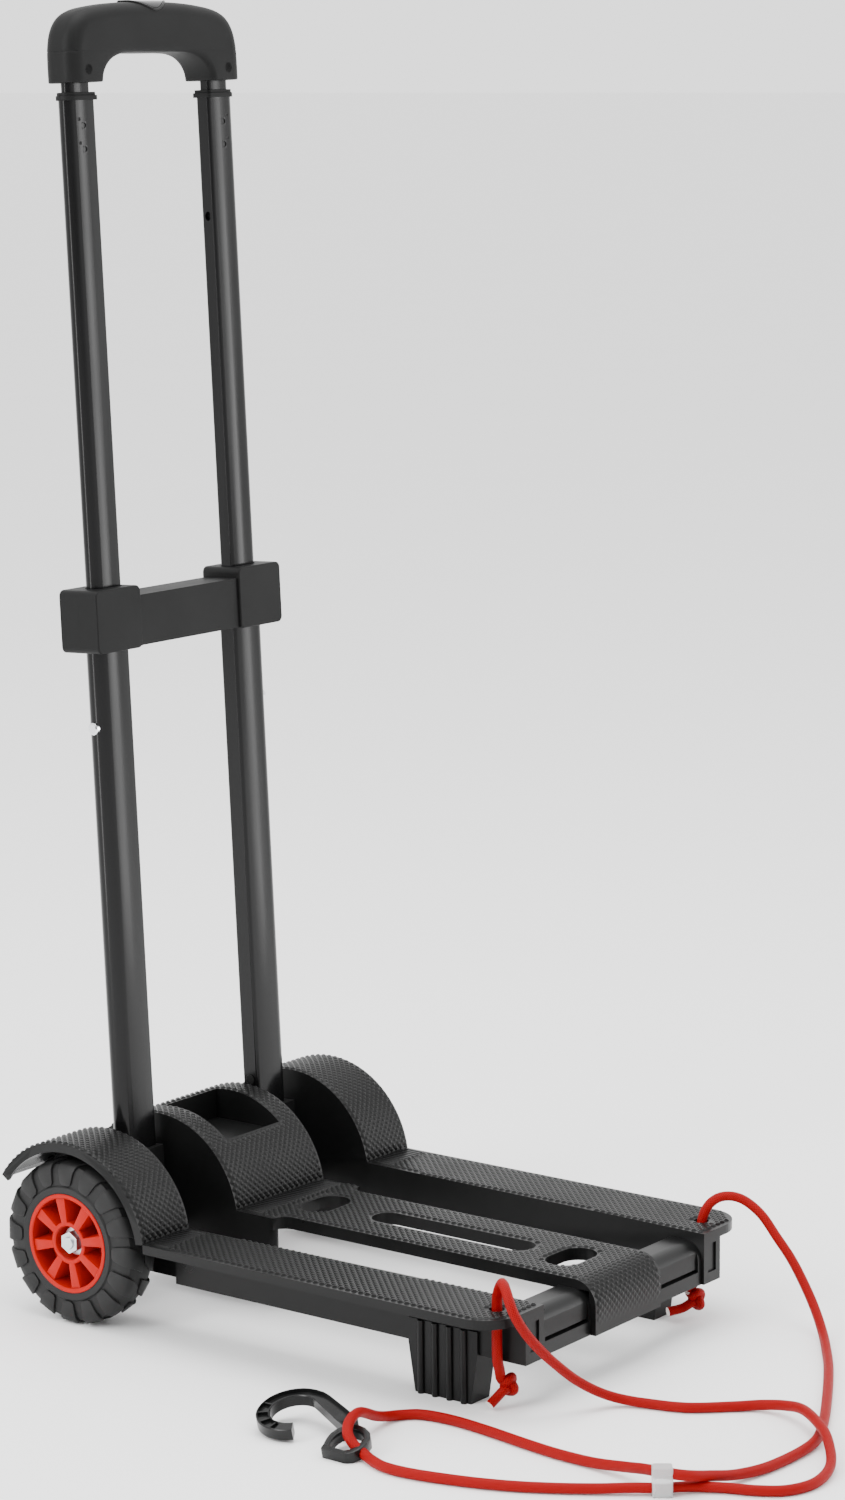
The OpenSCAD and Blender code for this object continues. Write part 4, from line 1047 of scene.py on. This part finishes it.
def make_grip():
    """Two shells round the inner tubes' tops, with a seam over each leg"""
    bm = bmesh.new()
    outer, arch = (smooth_line([(x, GRIP_DEPTH / 2, z) for x, z in half], 3.0)
                   for half in (GRIP_HALF, ARCH_HALF))
    left_outer, left_arch = ([Vector((-p.x, p.y, p.z)) for p in reversed(half)]
                             for half in (outer[:-1], arch))
    outline_solid(bm, [*outer, *left_outer, *left_arch, *arch[1:]], (0, -GRIP_DEPTH, 0))
    bmesh.ops.recalc_face_normals(bm, faces=bm.faces)

    def across(e):
        return abs(e.verts[0].co.y - e.verts[1].co.y) < 0.01

    def is_outer(e):
        middle = (e.verts[0].co + e.verts[1].co) / 2
        return middle.z > 765 or abs(middle.x) > 84

    bevel(bm, [e for e in bm.edges if across(e) and is_outer(e)], 10.0, 8)
    arch_edges = [e for e in sharp_edges(bm, math.degrees(0.9)) if across(e)
                  and not all(abs(v.co.z - GRIP_FOOT) < 0.01 for v in e.verts)]
    bevel(bm, arch_edges, 4.0, 5)
    bevel(bm, sharp_edges(bm, 60), 0.8)
    for z, pull in ((GRIP_SEAM - 0.3, 0), (GRIP_SEAM, SEAM_SINK), (GRIP_SEAM + 0.3, 0)):
        cut = bmesh.ops.bisect_plane(bm, geom=whole(bm), dist=0.001, plane_co=(0, 0, z),
                                     plane_no=(0, 0, 1))["geom_cut"]
        for v in cut:
            if isinstance(v, bmesh.types.BMVert) and abs(v.co.x) > 52 and pull:
                inward = Vector((math.copysign(TUBE_CENTRE, v.co.x), 0, v.co.z)) - v.co
                v.co += inward.normalized() * pull
    for x in (-TUBE_CENTRE, TUBE_CENTRE):
        sink_hole(bm, Vector((x, -GRIP_DEPTH / 2, SCREW_HEIGHT)), SCREW_RADIUS, SCREW_DEPTH)
    for outward, node in ((1, "grip_front"), (-1, "grip_rear")):
        shell = bm.copy()
        bmesh.ops.bisect_plane(shell, geom=whole(shell), dist=0.001, plane_co=(0, 0, 0),
                               plane_no=(0, outward, 0), clear_outer=True)
        rim = [e for e in shell.edges if len(e.link_faces) == 1]
        bmesh.ops.edgeloop_fill(shell, edges=rim)
        bmesh.ops.recalc_face_normals(shell, faces=shell.faces)
        put(shell, node + "_moulded", "grip", [soft_black()], [node], ON_MAST,
            sharp=40)
    bm.free()


def lens_line(half, depth, steps=24):
    """A pointed oval, seen from above"""
    line = []
    for k in range(steps * 2):
        t = k / steps
        x = half * math.cos(math.pi * t)
        y = depth * (1 - (x / half) ** 2) * (1 if t < 1 else -1)
        line.append(Vector((x, y, 0)))
    return line


CROWN_TOP = 796.4
CROWN_FLAT = 3.5
CROWN_RADIUS = 10.0


def grip_crown(y):
    """Height of the grip's middle at y, over its rounded shoulders"""
    over = max(0.0, abs(y) - CROWN_FLAT)
    return CROWN_TOP - CROWN_RADIUS + math.sqrt(max(0.0, CROWN_RADIUS ** 2 - over ** 2))


def make_release_button():
    """A glossy lens that follows the crown of the grip, inside a thin raised lip"""
    bm = bmesh.new()
    rings = []
    for share in (1.0, 0.97, 0.8, 0.55, 0.3):
        lift = 0.05 if share == 1.0 else 0.35
        rings.append([bm.verts.new((p.x * share, p.y * share, grip_crown(p.y * share) + lift))
                      for p in lens_line(20.5, 11.8)])
    skirt = [bm.verts.new((v.co.x, v.co.y, 784)) for v in rings[0]]
    join_rings(bm, [skirt, *rings])
    bm.faces.new(rings[-1])
    bm.faces.new(skirt[::-1])
    bmesh.ops.recalc_face_normals(bm, faces=bm.faces)
    put(bm, "release_button_moulded", "release", [gloss_black()],
        ["release_button"], ON_MAST, sharp=50)
    rim = bmesh.new()
    line = [p + Vector((0, 0, grip_crown(p.y) - 0.1)) for p in lens_line(21.8, 12.6, 30)]
    line.append(line[0].copy())
    sweep(rim, line, lambda i, side, up: [
        line[i] + 0.75 * (math.cos(a) * side + math.sin(a) * up)
        for a in (math.tau * k / 8 for k in range(8))])
    bmesh.ops.recalc_face_normals(rim, faces=rim.faces)
    put(rim, "release_button_rim", "grip", [moulded_black()], (), ON_MAST,
        sharp=60)


# ---------- operators ----------

# The camera's place in metres, its lens in millimetres, and its heading, pitch and roll
CAMERA_PLACE = (-1.970, -1.5393, 0.818)
CAMERA_LENS = 94.855
CAMERA_ANGLES = (52.773, -10.043, -0.481)

# Each light's name, place, target, width, height and power
LIGHTS = (("Key", (-2.4, 0.5, 1.9), (0, 0, 0.35), 1.0, 2.0, 45),
          ("Top", (0, -0.1, 2.8), (0, 0, 0), 1.8, 1.8, 60),
          ("Camera side", (-1.2, -2.8, 2.2), (0, 0, 0.35), 1.4, 1.4, 12),
          ("Left strip", (-1.5, 0.35, 0.45), (0, 0.1, 0.45), 0.22, 1.7, 12),
          ("Right strip", (1.1, -0.95, 0.45), (0, 0.1, 0.45), 0.2, 1.7, 8))


class HANDTRUCK_OT_camera(bpy.types.Operator):
    """Place the camera in front of the truck's left side"""
    bl_idname = "handtruck.camera"
    bl_label = "Place Camera"

    def execute(self, context):
        heading, pitch, roll = (math.radians(angle) for angle in CAMERA_ANGLES)
        forward = Vector((math.sin(heading) * math.cos(pitch), math.cos(heading) * math.cos(pitch),
                          math.sin(pitch)))
        right = Vector((math.cos(heading), -math.sin(heading), 0))
        up = right.cross(forward)
        right, up = (right * math.cos(roll) + up * math.sin(roll),
                     up * math.cos(roll) - right * math.sin(roll))
        data = bpy.data.cameras.new("Camera")
        data.lens = CAMERA_LENS
        data.sensor_width = 36
        camera = bpy.data.objects.new("Camera", data)
        camera.matrix_world = Matrix.Translation(CAMERA_PLACE) @ Matrix(
            (right, up, -forward)).transposed().to_4x4()
        context.scene.collection.objects.link(camera)
        context.scene.camera = camera
        return {"FINISHED"}


def softbox(name, place, target, width, height, power):
    data = bpy.data.lights.new(name, "AREA")
    data.shape = "RECTANGLE"
    data.size, data.size_y, data.energy = width, height, power
    made = bpy.data.objects.new(name, data)
    made.location = place
    made.rotation_euler = (Vector(target) - Vector(place)).to_track_quat("-Z", "Y").to_euler()
    bpy.context.scene.collection.objects.link(made)


class HANDTRUCK_OT_stage(bpy.types.Operator):
    """Lay the pale floor and set the soft lights"""
    bl_idname = "handtruck.stage"
    bl_label = "Set Stage"

    def execute(self, context):
        world = bpy.data.worlds.new("Studio")
        world.use_nodes = True
        s = Shading(world.node_tree)
        background = world.node_tree.nodes["Background"]
        background.inputs["Color"].default_value = (1, 1, 1, 1)
        place = s.node("ShaderNodeTexCoord")
        facing = s.node("ShaderNodeVectorMath", operation="DOT_PRODUCT")
        s.link(place.outputs["Generated"], facing.inputs[0])
        facing.inputs[1].default_value = (-0.797, -0.604, 0)
        fade = s.node("ShaderNodeMapRange", interpolation_type="SMOOTHSTEP")
        s.link(facing.outputs["Value"], fade.inputs["Value"])
        for name, number in zip(RANGE_SOCKETS, (0.5, 0.95, 1.9, 0.5)):
            fade.inputs[name].default_value = number
        s.link(fade.outputs[0], background.inputs["Strength"])
        context.scene.world = world
        bm = bmesh.new()
        bmesh.ops.create_grid(bm, x_segments=1, y_segments=1, size=60)
        mesh = bpy.data.meshes.new("Floor")
        bm.to_mesh(mesh)
        bm.free()
        floor = bpy.data.objects.new("Floor", mesh)
        made, s, shader = new_material("Pale floor", colours().floor, Roughness=0.8)
        shader.inputs["Specular IOR Level"].default_value = 0.1
        place = s.node("ShaderNodeTexCoord")
        tone = s.spread(s.noise(place.outputs["Object"], 3.0), 0.0, 1.0)
        mix = s.node("ShaderNodeMix", data_type="RGBA")
        s.link(tone, mix.inputs["Factor"])
        mix.inputs["A"].default_value = (*[c * 0.99 for c in colours().floor], 1)
        mix.inputs["B"].default_value = (*colours().floor, 1)
        s.link(mix.outputs["Result"], shader.inputs["Base Color"])
        mesh.materials.append(made)
        context.scene.collection.objects.link(floor)
        for light in LIGHTS:
            softbox(*light)
        return {"FINISHED"}


class HANDTRUCK_OT_cord(bpy.types.Operator):
    """Lay the elastic cord with its knots, hook and clip"""
    bl_idname = "handtruck.cord"
    bl_label = "Lay Cord"

    def execute(self, context):
        make_cord()
        return {"FINISHED"}


class HANDTRUCK_OT_deck(bpy.types.Operator):
    """Finish the side rails, the centre deck, the front bar and the feet"""
    bl_idname = "handtruck.deck"
    bl_label = "Finish Deck"

    def execute(self, context):
        for side in SIDES:
            make_side_rail(side)
            refined("foot_" + side, "base", moulded_black(), 0.5)
        make_centre_deck()
        refined("front_bar", "base", moulded_black(), 0.8, 3)
        return {"FINISHED"}


class HANDTRUCK_OT_wheels(bpy.types.Operator):
    """Make the treaded tyres and the spoked hubs"""
    bl_idname = "handtruck.wheels"
    bl_label = "Make Wheels"

    def execute(self, context):
        for side in SIDES:
            make_tyre(side)
            make_hub(side)
            refined("hub_bush_" + side, "wheel_" + side, natural_nylon(), 0.2)
        return {"FINISHED"}


class HANDTRUCK_OT_mast(bpy.types.Operator):
    """Finish the mast tubes, shoes, bracket, collars and latch buttons"""
    bl_idname = "handtruck.mast"
    bl_label = "Finish Mast"

    def execute(self, context):
        for side in SIDES:
            refined("shoe_" + side, "mast_lower", soft_black(), 0.8)
            make_tube("lower_tube_" + side, "mast_lower")
            make_tube("middle_tube_" + side, "mast_middle", DENT_HEIGHTS)
            make_tube("inner_tube_" + side, "grip")
            refined("collar_" + side, "mast_middle", soft_black(), 0.3)
            refined("latch_button_" + side, "latch_button_" + side, polished_steel(),
                    0.4, 3)
        for half in ("front", "rear"):
            make_bracket(half)
        return {"FINISHED"}


class HANDTRUCK_OT_grip(bpy.types.Operator):
    """Make the rounded grip and its release button"""
    bl_idname = "handtruck.grip"
    bl_label = "Make Grip"

    def execute(self, context):
        make_grip()
        make_release_button()
        return {"FINISHED"}


# Each part's node, body, slot, finish and rounding
SMALL_PARTS = (("bracket_screws", "mast_lower", "steel", zinc_steel, 0.2),
               ("grip_screws", "grip", "steel", black_screw, 0.2),
               ("button_spring", "grip", "steel", zinc_steel, 0),
               ("latch_springs", "mast_middle", "steel", zinc_steel, 0),
               ("push_rods", "release", "steel", zinc_steel, 0.2),
               ("lock_pin_left", "lock_pin_left", "steel", zinc_steel, 0.2),
               ("lock_pin_right", "lock_pin_right", "steel", zinc_steel, 0.2),
               ("shoe_rivets", "mast_lower", "dark_plastic", soft_black, 0.5),
               ("middle_plugs", "mast_middle", "dark_plastic", soft_black, 0.2),
               ("inner_plugs", "grip", "dark_plastic", soft_black, 0.2),
               ("release_yoke", "release", "dark_plastic", soft_black, 0.3))


class HANDTRUCK_OT_metalwork(bpy.types.Operator):
    """Finish the axle, fasteners, springs and the parts inside the mast"""
    bl_idname = "handtruck.metalwork"
    bl_label = "Finish Metalwork"

    def execute(self, context):
        for node in ("rear_bar", "axle", "axle_washers", "axle_nuts", "axle_spacers",
                     "wrap_screws"):
            refined(node, "base", zinc_steel(), 0.3)
        for node, body, slot, finish, radius in SMALL_PARTS:
            refined(node, body, finish(), radius)
        return {"FINISHED"}


STEPS = (HANDTRUCK_OT_camera, HANDTRUCK_OT_cord, HANDTRUCK_OT_stage, HANDTRUCK_OT_deck,
         HANDTRUCK_OT_wheels, HANDTRUCK_OT_mast, HANDTRUCK_OT_grip, HANDTRUCK_OT_metalwork)


class HANDTRUCK_PT_panel(bpy.types.Panel):
    """Lists the steps and the values of the hand truck"""
    bl_idname = "HANDTRUCK_PT_panel"
    bl_label = "Hand Truck"
    bl_space_type = "VIEW_3D"
    bl_region_type = "UI"
    bl_category = "Hand Truck"

    def draw(self, context):
        for group in (sizes(), colours()):
            box_layout = self.layout.box()
            for name in group.__annotations__:
                box_layout.prop(group, name)
        for step in STEPS:
            self.layout.operator(step.bl_idname)


CLASSES = (HandTruckSizes, HandTruckColours, *STEPS, HANDTRUCK_PT_panel)


def register():
    for made in CLASSES:
        bpy.utils.register_class(made)
    bpy.types.Scene.hand_truck_sizes = PointerProperty(type=HandTruckSizes)
    bpy.types.Scene.hand_truck_colours = PointerProperty(type=HandTruckColours)


def unregister():
    del bpy.types.Scene.hand_truck_sizes
    del bpy.types.Scene.hand_truck_colours
    for made in reversed(CLASSES):
        bpy.utils.unregister_class(made)


def main():
    register()
    for step in STEPS:
        group, name = step.bl_idname.split(".")
        getattr(getattr(bpy.ops, group), name)()


if __name__ == "__main__":
    main()
